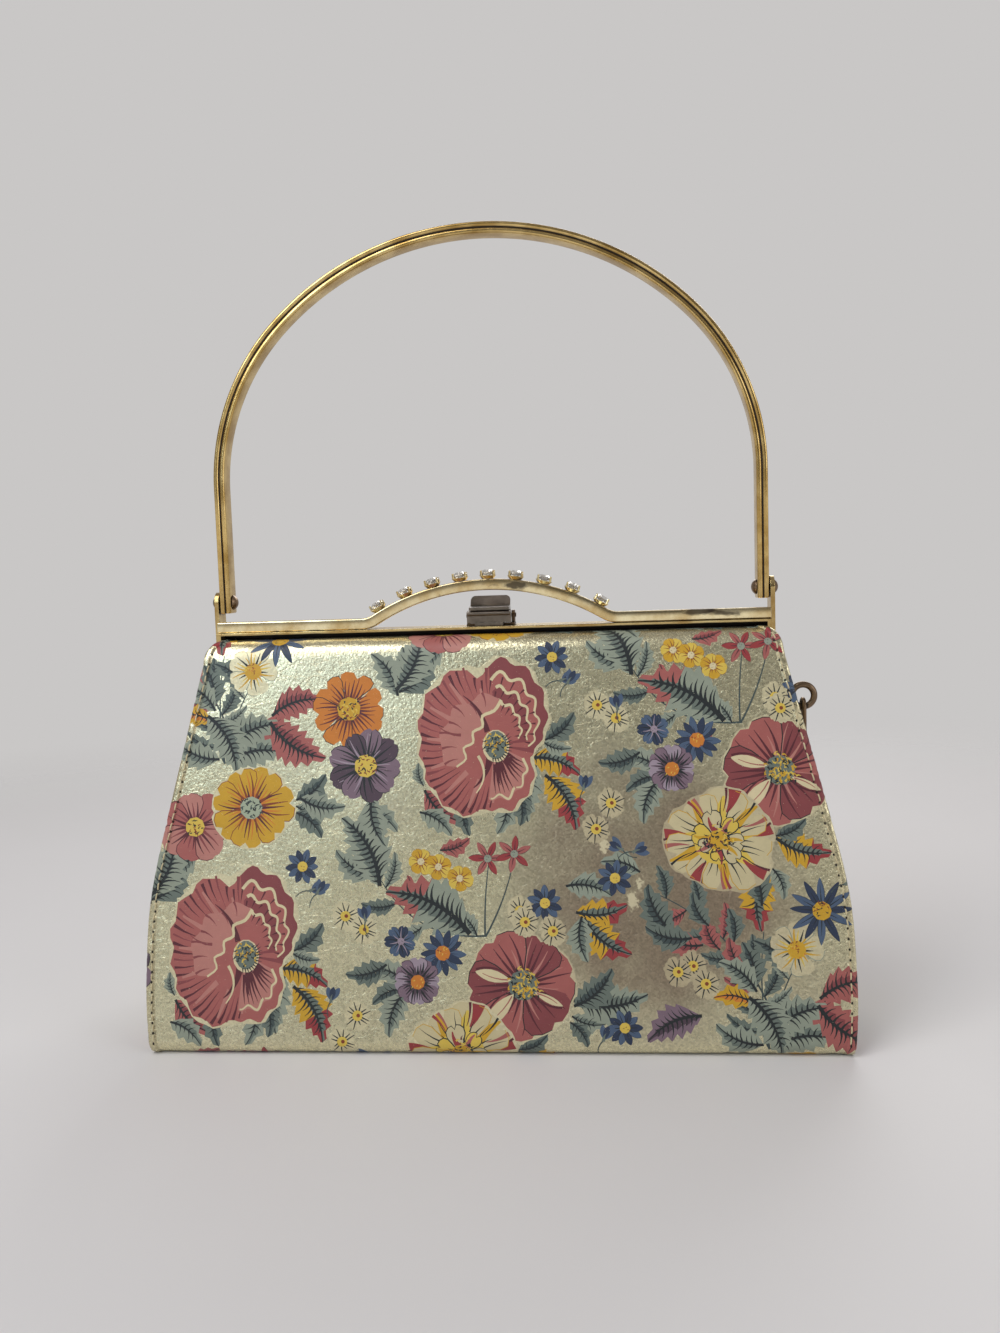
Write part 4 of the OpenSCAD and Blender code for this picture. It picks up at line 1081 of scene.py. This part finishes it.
def gusset_point(side):
    def place(h, z, out):
        t = min(1, abs(h) / gusset_reach(z))
        hollow = GUSSET_FOLD * ease(*FOLD_RISE, z) * (1 - ease(*FOLD_FADE, z)) * (1 - t * t)
        return Vector((side * (side_half(z) - hollow + out), side * h, z))
    return place


ear_top = SHOULDER_HEIGHT - EAR_DROP
levels = list(np.arange(GUSSET_FOOT, ear_top, 2.0)) + [ear_top]
side_edge = [complex(gusset_reach(z), z) for z in levels]
ear = gusset_reach(ear_top)
scoop = [complex(h, ear_top - SCOOP_DEPTH * (1 - ease(SCOOP_FLAT, SCOOP_SIDE, abs(h))))
         for h in np.linspace(ear, -ear, 31)[1:-1]]
foot = [complex(h, GUSSET_FOOT) for h in np.linspace(-side_edge[0].real, side_edge[0].real, 30)[1:-1]]
gusset_outline = foot + side_edge + scoop + [complex(-p.real, p.imag) for p in side_edge[::-1]]
gussets = []
for side, name, shift in ((1, "right", complex(38, 60)), (-1, "left", complex(-52, 24))):
    gusset = printed_skin(f"{name}_gusset_leather", gusset_outline, stamped(gusset_outline, shift),
                          gusset_point(side), GUSSET_LEATHER, np.arange(3, ear_top, 4), 4)
    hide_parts(f"{name}_gusset")
    gussets.append(gusset)
print("gussets:", [len(g.data.polygons) for g in gussets])

# %% [markdown]
# ### Lining
# Inside hangs a cloth lining, sewn at the mouth. It is a lofted shell: each level is a rounded rectangle
# with the same number of points, and small gathers push it inward, never outward into the leather.

# %% Lining
LINING_FLOOR, LINING_DROP, LINING_CLOTH = 2.7, 6, 0.8
LINING_SIDE_GAP, LINING_FACE_GAP, LINING_CORNER = 8.5, 3.1, 7
LONG_STEPS, SHORT_STEPS, CORNER_STEPS = 44, 12, 6
GATHER_LOW, GATHER_HIGH = 40, 110


def lining_ring(z, inset):
    """One level of the lining, anticlockwise from above."""
    half = complex(side_half(z) - LINING_SIDE_GAP, min(-FOLD_Y, -lean_y(z) - LINING_FACE_GAP))
    ring = []
    for turn in range(4):
        core = complex(half.real - LINING_CORNER, half.imag - LINING_CORNER)
        middle = complex(core.real * (1, -1, -1, 1)[turn], core.imag * (1, 1, -1, -1)[turn])
        arc = [middle + LINING_CORNER * spin(90 * turn + 90 * k / CORNER_STEPS)
               for k in range(CORNER_STEPS + 1)]
        far = complex(core.real * (-1, -1, 1, 1)[turn], core.imag * (1, -1, -1, 1)[turn])
        steps = SHORT_STEPS if turn % 2 else LONG_STEPS
        run = LINING_CORNER * spin(90 * turn + 90) + far
        ring += arc + [arc[-1] + (run - arc[-1]) * k / steps for k in range(1, steps)]
    drop = ease(LINING_FLOOR, GATHER_LOW, z) * (1 - ease(GATHER_HIGH, SHOULDER_HEIGHT - LINING_DROP, z))
    made = []
    for p in ring:
        gather = drop * (0.7 + 0.5 * math.sin(p.real / 6 + z / 40)
                         + 0.4 * math.sin(p.real / 2.7 - z / 25 + p.imag))
        size = 1 - (inset + max(0, gather)) / abs(p)
        made.append(Vector((p.real * size, p.imag * size, z)))
    return made


lining_levels = np.linspace(LINING_FLOOR, SHOULDER_HEIGHT - LINING_DROP, 30)
outer_rings = [lining_ring(z, 0) for z in lining_levels]
inner_rings = [[p + Vector((0, 0, LINING_CLOTH)) for p in lining_ring(LINING_FLOOR, LINING_CLOTH)]]
inner_rings += [lining_ring(z, LINING_CLOTH) for z in lining_levels[1:]]
stack = outer_rings + inner_rings[::-1]
lining = solid("lining_cloth", [p for ring in stack for p in ring], tube_faces(0, len(stack), len(stack[0])))
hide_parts("lining")
widest = max(sum((a - b).length for a, b in zip(ring, ring[1:] + ring[:1])) for ring in outer_rings)
cloth_area = sum(face.area for face in lining.data.polygons) / 2
widest * MM

# %% [markdown]
# ### Stitches
# A row of stitches runs just inside each bound edge. Each is a short sausage of thread whose ends dive into
# the leather, with a needle hole before it: a shallow dark plug that paints the shade inside the hole. They
# are laid by the same path function as the leather.

# %% Stitches
STITCH_PITCH, STITCH_LENGTH, THREAD_RADIUS, STITCH_IN = 3.6, 2.5, 0.27, 0.95
STITCH_DRIFT, STITCH_SLANT, THREAD_LIFT, THREAD_DIVE = 0.08, 0.12, 0.16, 0.42
HOLE_RADIUS, HOLE_SIDES, HOLE_PROUD, HOLE_DEPTH, HOLE_STRETCH = 0.36, 8, 0.03, 0.2, 1.3
RING, STATIONS = 6, 6


def stitch_points(lift, side, x, s, slant):
    """Rings of points along one stitch."""
    points = []
    half = panel_half(path_point(s)[1])
    for k in range(STATIONS + 1):
        t = 2 * k / STATIONS - 1
        here = s + t * STITCH_LENGTH / 2
        spot_x = x + slant * t + side * (panel_half(path_point(here)[1]) - half)
        base = lift(spot_x, here, THREAD_LIFT - THREAD_DIVE * t ** 4)
        along = (lift(spot_x, here + 0.2, 0) - lift(spot_x, here - 0.2, 0)).normalized()
        up = (lift(spot_x, here, 0.5) - lift(spot_x, here, 0)).normalized()
        across = along.cross(up)
        for j in range(RING):
            a = 2 * math.pi * j / RING
            points.append(base + (across * math.cos(a) + up * math.sin(a)) * THREAD_RADIUS)
    return points


def hole_points(lift, x, s):
    """Two rings of points for one needle hole: its rim just above the leather, and its floor."""
    turns = [2 * math.pi * j / HOLE_SIDES for j in range(HOLE_SIDES)]
    return [lift(x + HOLE_RADIUS * math.cos(a), s + HOLE_STRETCH * HOLE_RADIUS * math.sin(a), out)
            for out in (HOLE_PROUD, -HOLE_DEPTH) for a in turns]


def stitched(name, lifts):
    """Stitches and needle holes along the edges; the holes, dark plugs that paint the shade inside them,
    take the second material.
    """
    rng = random.Random(11)
    points, faces, dark = [], [], []
    for side, lift in lifts:
        for s in np.arange(S_FOLD + 1, S_LEAN + 7, STITCH_PITCH):
            inner = panel_half(path_point(s)[1]) - BINDING_WIDTH
            x = side * (inner + STITCH_IN + rng.uniform(-STITCH_DRIFT, STITCH_DRIFT))
            faces += tube_faces(len(points), STATIONS + 1, RING)
            points += stitch_points(lift, side, x, s, rng.uniform(-STITCH_SLANT, STITCH_SLANT))
            upper = list(range(len(points), len(points) + HOLE_SIDES))
            points += hole_points(lift, x, s - STITCH_PITCH / 2)
            plug = [tuple(upper), tuple(k + HOLE_SIDES for k in upper[::-1])]
            plug += [(b, a, a + HOLE_SIDES, b + HOLE_SIDES) for a, b in zip(upper, upper[1:] + upper[:1])]
            dark += range(len(faces), len(faces) + len(plug))
            faces += plug
    return solid(name, points, faces), dark


front_stitches, front_holes = stitched("front_stitches", [(1, strip_point(1)), (-1, strip_point(-1))])
back_stitches, back_holes = stitched("back_stitches", [(k, turned_back(strip_point(k))) for k in (1, -1)])
print("stitches:", len(front_stitches.data.polygons), "faces on the front,",
      len(back_stitches.data.polygons), "on the back")

# %% [markdown]
# ## Bent bars
# The handle and the arched bar are metal bars bent from one section. The CAD model bends them in flat
# steps, which polished metal would show at once, so each is swept again here along the same arcs with many
# more steps, and with rounded edges that catch a thin line of light.

# %% Handle and arched bar
HANDLE_HALF_BAR, HANDLE_BAR_DEPTH, HANDLE_EDGE, HANDLE_GROOVE = 2.1, 4.0, 0.8, 0.6
GROOVE_SHAPE = ((1.2, 0.08), (0.85, 0.3), (0.3, 0.9), (0, 1), (-0.3, 0.9), (-0.85, 0.3), (-1.2, 0.08))


def bar_section(half_r, half_y, radius, groove=0.0, steps=5):
    """Corners (across + depth j) of a bar with rounded edges, perhaps grooved along its front and back."""
    section = []
    for turn in range(4):
        core = complex((half_r - radius) * (1, -1, -1, 1)[turn], (half_y - radius) * (1, 1, -1, -1)[turn])
        section += [core + radius * spin(90 * turn + 90 * k / steps) for k in range(steps + 1)]
        if groove and turn % 2 == 0:
            way = 1 if turn == 0 else -1
            section += [way * complex(share * groove, half_y - cut * groove) for share, cut in GROOVE_SHAPE]
    return section


def swept(name, line, section, middle_y=0.0):
    """A bar along a line of (x, z, slope in degrees), where a fourth value scales the section."""
    points = []
    for x, z, slope, *share in line:
        along = spin(slope)
        size = share[0] if share else 1
        for p in section:
            up = size * p.real
            points.append((x - up * along.imag, middle_y + size * p.imag, z + up * along.real))
    piece = solid(name, points, tube_faces(0, len(line), len(section)))
    deepest = max(abs(p.imag) for p in section)
    sunk = [float(abs(p.real) < HANDLE_GROOVE and abs(p.imag) < deepest - 0.2) for p in section] * len(line)
    piece.data.attributes.new("groove", "FLOAT", "POINT").data.foreach_set("value", sunk)
    return piece


def both_ways(half):
    """A line that starts in the middle, continued as its mirror image to the other side."""
    return [(-x, z, -slope, *share) for x, z, slope, *share in half[:0:-1]] + half


handle_low, handle_high = (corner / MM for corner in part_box("handle"))
SHOULDER_BEND, SHOULDER_SWEEP = 85, 45
bend_x = handle_high.x - SHOULDER_BEND
crown_extra = bend_x / math.cos(math.radians(SHOULDER_SWEEP))
crown_bend = SHOULDER_BEND + crown_extra
crown_z = handle_high.z - crown_bend
bend_z = crown_z + crown_extra * math.sin(math.radians(SHOULDER_SWEEP))
handle_half = []
for degrees in np.linspace(0, 90, 91):
    x, z, bend = 0, crown_z, crown_bend
    if degrees >= 90 - SHOULDER_SWEEP:
        x, z, bend = bend_x, bend_z, SHOULDER_BEND
    way = (bend - HANDLE_HALF_BAR) * spin(90 - degrees)
    handle_half.append((x + way.real, z + way.imag, -degrees))
leg_x = handle_high.x - HANDLE_HALF_BAR
for rise, share in ((0.9, 1), (0.5, 0.96), (0.3, 0.86)):
    handle_half.append((leg_x, handle_low.z + rise, -90, share))
handle = swept("handle_bow", both_ways(handle_half),
               bar_section(HANDLE_HALF_BAR, HANDLE_BAR_DEPTH, HANDLE_EDGE, HANDLE_GROOVE))

bar_low, bar_high = (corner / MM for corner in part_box("arch_bar"))
BAR_HEIGHT, BAR_EDGE = 4.1, 0.55
ARCH_HALF_SPAN, ARCH_FOOT = 48, 10
bar_depth = (bar_high.y - bar_low.y) / 2
bar_middle = bar_low.z + BAR_HEIGHT / 2
arch_rise = bar_high.z - bar_low.z - BAR_HEIGHT
arch_sweep = 2 * math.degrees(math.atan(arch_rise / ARCH_HALF_SPAN))
arch_bend = ARCH_HALF_SPAN / math.sin(math.radians(arch_sweep)) - ARCH_FOOT
bar_half = []
for degrees in np.linspace(0, arch_sweep, 40):
    way = arch_bend * spin(90 - degrees)
    bar_half.append((way.real, bar_middle + arch_rise - arch_bend + way.imag, -degrees))
for degrees in np.linspace(arch_sweep, 0, 16)[1:]:
    way = ARCH_FOOT * spin(-90 - degrees)
    bar_half.append((ARCH_HALF_SPAN + way.real, bar_middle + ARCH_FOOT + way.imag, -degrees))
for short, share in ((0.5, 1), (0.15, 0.97), (0, 0.88)):
    bar_half.append((bar_high.x - short, bar_middle, 0, share))
bar = swept("arched_bar", both_ways(bar_half), bar_section(BAR_HEIGHT / 2, bar_depth, BAR_EDGE),
            (bar_low.y + bar_high.y) / 2)
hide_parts("handle")
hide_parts("arch_bar")
print("handle", len(handle.data.polygons), "faces; bar", len(bar.data.polygons), "faces")

# %% [markdown]
# ## Finishes: leather
# The skin is foil-printed: a thin metal film, pressed with a fine grain, under opaque inks. So the print's
# cover drives the metal: bare film is metallic and sparkles, ink is not. Grain is two sizes of cells, wear
# shows as duller brown film, and one rubbed spot on the front has lost its film altogether.

# %% Leather
def apart(finish, place, stretch=(1, 1, 1)):
    """Distance in millimetres from a place, measured in a stretched space."""
    spot_at = finish.node("ShaderNodeTexCoord", out="Object")
    gap = finish.node("ShaderNodeVectorMath", {"operation": "SUBTRACT"},
                      {0: spot_at, 1: tuple(Vector(place) * MM)})
    gap = finish.node("ShaderNodeVectorMath", {"operation": "MULTIPLY"}, {0: gap, 1: stretch})
    return finish.node("ShaderNodeVectorMath", {"operation": "LENGTH"}, {0: gap}, out="Value") * (1 / MM)


FILM, FILM_WORN, FILM_PALE, SCUFF = shade("d3cba6"), shade("988873"), shade("e2dbba"), shade("c3b897")
SCUFFS = ((632, 900, 6), (604, 846, 5), (640, 885, 4))
RUBBED = (650, 880)
GRAIN = 1.1


def foil_leather(name, film=FILM, worn=FILM_WORN):
    leather = Finish(name, Coat_Weight=0.12, Coat_Roughness=0.3, Specular_IOR_Level=0.4)
    ink = leather.node("ShaderNodeAttribute", {"attribute_name": "print"}, out="Color")
    cover = leather.node("ShaderNodeAttribute", {"attribute_name": "print"}, out="Alpha")
    cells = {"Vector": leather.place(), "Scale": 1 / (GRAIN * MM), "Smoothness": 0.6}
    pebble = leather.node("ShaderNodeTexVoronoi", {"feature": "SMOOTH_F1"}, cells)
    flake = leather.node("ShaderNodeTexVoronoi", {"feature": "F1"}, {
        "Vector": leather.place(), "Scale": 1 / (GRAIN * 0.6 * MM)}, out="Color")
    flake = leather.node("ShaderNodeSeparateColor", None, {0: flake})
    fine = leather.noise(0.55, 2, 0.6)
    crease = 1 - abs(leather.noise(17, 4, 0.6, (1, 1, 2.2)) - 0.5).over(0.006, 0.006)
    clouds = leather.noise(45, 4, 0.55)
    point = on_front(*RUBBED)
    rubbed = 1 - apart(leather, front_point(point.real, point.imag), (0.75, 1, 1)).over(38, 26)
    wear = (clouds * 0.9 + rubbed * 0.5).over(0.74, 0.24)
    scuffed = None
    for column, row, size in SCUFFS:
        point = on_front(column, row)
        near = apart(leather, front_point(point.real, point.imag), (1.7, 1, 0.8))
        mark = (leather.noise(1.7, 7, 0.75) * 12 - near).over(6.2 - size * 0.5, 0.3)
        scuffed = mark if scuffed is None else scuffed | mark
    flecks = leather.noise(0.5, 2, 0.7).over(0.27, 0.02)
    inked_share = cover * flecks * (1 - scuffed)
    tone = leather.noise(5, 3, 0.6) * 0.3 + fine * 0.12 + 0.8
    ink = leather.blend(0.8, ink, tone, "MULTIPLY")
    ground = leather.blend(wear, leather.blend(clouds, film, FILM_PALE), worn)
    ground = leather.blend(0.9, ground, flake * 0.34 + 0.78, "MULTIPLY")
    ground = leather.blend(scuffed, ground, SCUFF)
    height = (pebble * 0.6 + fine * 0.6 + flake * 0.25) * (1 - cover * 0.75) - crease * 0.3 - scuffed * 0.6
    leather.set(Base_Color=leather.blend(inked_share, ground, ink),
                Metallic=(1 - inked_share) * (1 - scuffed) * (0.93 - wear * 0.15),
                Roughness=0.23 + fine * 0.1 + wear * 0.08 + inked_share * 0.2 + scuffed * 0.25,
                Normal=leather.relief(height, 0.1))
    return leather


printed_leather = foil_leather("printed_leather")
for piece in [front, back, *gussets]:
    piece.data.materials.append(printed_leather.material)
edge_leather = foil_leather("edge_leather", shade("c0b48e"), shade("8d8069"))
for piece in edges.values():
    piece.data.materials.append(edge_leather.material)
base_leather = foil_leather("base_leather", shade("b3a47c"), shade("8b7a62"))
thread = Finish("waxed_thread", Sheen_Weight=0.2, Roughness=0.6)
twist = thread.node("ShaderNodeTexWave", {"bands_direction": "DIAGONAL"},
                    {"Vector": thread.place(), "Scale": 1 / (3 * MM), "Distortion": 1.5})
thread.set(Base_Color=thread.blend(thread.noise(5), shade("b8a77e"), shade("d8cba6")),
           Normal=thread.relief(twist, 0.08))
# painted shade: the plugs' near-black colour stands in for the shade inside the needle holes
needle_hole_shade = Finish("needle_hole_shade", Roughness=0.9)
needle_hole_shade.set(Base_Color=needle_hole_shade.blend(needle_hole_shade.noise(1), shade("1c1712"), shade("2f271e")))
for piece, holes in ((front_stitches, front_holes), (back_stitches, back_holes)):
    piece.data.materials.append(thread.material)
    piece.data.materials.append(needle_hole_shade.material)
    for k in holes:
        piece.data.polygons[k].material_index = 1
cloth = Finish("lining_cloth", Roughness=0.7, Sheen_Weight=0.3, Sheen_Roughness=0.4)
warp, weft = (cloth.node("ShaderNodeTexWave", {"bands_direction": axis, "wave_profile": "SIN"},
                         {"Vector": cloth.place(), "Scale": 1 / (2.2 * MM), "Distortion": 0.8})
              for axis in "XZ")
weave = warp * weft
cloth.set(Base_Color=cloth.blend(cloth.noise(30) * 0.6 + weave * 0.4, shade("8f7c5c"), shade("b9a784")),
          Normal=cloth.relief(weave, 0.12))
lining.data.materials.append(cloth.material)
print("leather, thread and cloth")

# %% [markdown]
# ## Finishes: metal and stone
# All the metal is old plate. One function makes it: a bright colour, a duller one in clouds, dark tarnish
# in the finest clouds, painted shade wherever two faces meet, and small pits. The Bevel node rounds the
# shading of the CAD's sharp edges without touching their meshes.

# %% Metal and stone
LEG_THICKNESS, CHANNEL_TOP = 1.6, 148.9
# dark patches on the bar: partly tarnish, and on the bar's right part partly a painted dark reflection
BAR_STAINS_AND_REFLECTIONS = ((512, 585), (700, 611), (722, 613))


def on_bar(column, row):
    """The place on the bar's front face behind a pixel of the photograph."""
    ray = photo_ray(column, row)
    return CAMERA_PLACE + ray * ((bar_low.y - CAMERA_PLACE.y) / ray.y)


def plate(name, bright, dull, tarnish, rough, tarnished=0.66, edge=0.3, grooved=False, channel=None,
          stains_and_reflections=()):
    """Old plated metal with tarnish clouds and pits. It is painted darker along a groove and in patches on
    the bar that are partly tarnish and partly painted reflection, and painted shade darkens corners where
    faces meet and the inside of a channel.
    """
    metal = Finish(name, Specular_IOR_Level=0.6)
    clouds = metal.noise(11, 5, 0.6)
    pits = metal.noise(0.9, 3, 0.7).over(0.7, 0.04)
    grain = metal.noise(0.4, 3, 0.6)
    dark = metal.noise(7, 6, 0.7) + pits * 0.2
    if edge:
        # painted shade: an ambient occlusion mask darkens corners where faces meet toward the tarnish colour
        painted_corner_shade = 1 - metal.node("ShaderNodeAmbientOcclusion", {"samples": 6}, {"Distance": 1.6 * MM}, out="AO")
        dark = dark + painted_corner_shade * 0.4
    dark = dark.over(tarnished, 0.07)
    if grooved:
        # darker along the groove of the handle's section
        groove = metal.node("ShaderNodeAttribute", {"attribute_name": "groove"}, out="Fac")
        dark = dark | groove.over(0.5, 0.3)
    # dark patches on the bar, partly tarnish and partly painted reflection on its right part
    for pixel in stains_and_reflections:
        near = apart(metal, on_bar(*pixel), (0.2, 1, 1))
        dark = dark | (metal.noise(4, 3, 0.6, (0.5, 1, 1)) * 5 - near).over(1.5, 0.6) * 0.85
    if channel:
        spot_at = metal.node("ShaderNodeTexCoord", out="Object")
        aside, height = (metal.node("ShaderNodeSeparateXYZ", None, {0: spot_at}, out=k) for k in "XZ")
        # painted shade: the inside of the channel, below its top lip and between the legs, goes to the
        # tarnish colour
        painted_channel_shade = 1 - (height + (clouds - 0.5) * 0.8 * MM).over(CHANNEL_TOP * MM, 0.25 * MM)
        dark = dark | painted_channel_shade * (1 - abs(aside).over(channel, 0.2 * MM))
    colour = metal.blend(dark, metal.blend(clouds.over(0.5, 0.2), bright, dull), tarnish)
    rounded = metal.node("ShaderNodeBevel", {"samples": 6}, {"Radius": edge * MM}) if edge else None
    metal.set(Base_Color=colour, Metallic=1 - dark * 0.35,
              Roughness=rough + grain * 0.06 + clouds * 0.08 + dark * 0.25,
              Normal=metal.relief(grain * 0.4 - pits, 0.01, rounded))
    return metal


gold = plate("worn_gold", shade("e6d8ae"), shade("c9b07c"), shade("4a3826"), 0.12, 0.72)
bar_gold = plate("bar_gold", shade("e9dcb6"), shade("c4ab7a"), shade("2c2119"), 0.1, 0.72, 0, stains_and_reflections=BAR_STAINS_AND_REFLECTIONS)
# its near-black tarnish colour also paints the shade inside the jaw's channel
jaw_gold = plate("jaw_gold", shade("d8c28c"), shade("a98a55"), shade("1d1510"), 0.16, 0.7, 0.3,
                 channel=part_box("front_jaw")[1].x - LEG_THICKNESS * MM)
antique = plate("antique_gold", shade("d8bc80"), shade("a5854a"), shade("2a1f14"), 0.16, 0.74, 0, True)
bronze = plate("bronze", shade("86705a"), shade("594a3c"), shade("241c16"), 0.26, 0.66)
latch_grey = plate("latch_bronze", shade("867b70"), shade("5f584f"), shade("282420"), 0.24, 0.68)
steel = plate("spring_steel", shade("a3a09b"), shade("76726c"), shade("33302c"), 0.25, 0.7, 0.05)
stone = Finish("clear_stone", Transmission_Weight=1.0, IOR=1.6, Roughness=0.02, Metallic=0.4)
stone.set(Base_Color=stone.blend(stone.noise(3), shade("ece9e2"), shade("fffdf8")))


def dress(finish, *names):
    for name in names:
        nodes[name].data.materials.clear()
        nodes[name].data.materials.append(finish.material)


numbers = range(1, 10)
dress(gold, *(f"stone_cup_{k}" for k in numbers))
dress(jaw_gold, "front_jaw", "rear_jaw")
dress(bronze, "left_hinge_rivet", "right_hinge_rivet", "left_handle_rivet", "right_handle_rivet",
      "latch_bracket", "latch_pin", "side_ring", "ring_staple", "staple_plate")
dress(latch_grey, "latch_catch", "latch_lever")
dress(steel, "latch_spring")
dress(stone, *(f"stone_{k}" for k in numbers))
dress(base_leather, "base_panel")
handle.data.materials.append(antique.material)
bar.data.materials.append(bar_gold.material)
print("finishes:", len(bpy.data.materials))

# %% [markdown]
# ## Riding the joints
# The back leather, its edges and stitches follow the bag's body, the handle its own body and the bar the
# front frame. The front leather, its edges and stitches, the gussets and the lining are attached to no body;
# their transforms are baked into their meshes. The handle and the bar are stiff, so they simply ride.

# %% Bodies and finish
for piece in (back, back_stitches, edges["back_left_edge"], edges["back_right_edge"]):
    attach(piece, "bag")
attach(handle, "handle")
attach(bar, "front_frame")
for piece in (front, front_stitches, edges["front_left_edge"], edges["front_right_edge"]):
    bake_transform(piece)
for piece in (*gussets, lining):
    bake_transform(piece)
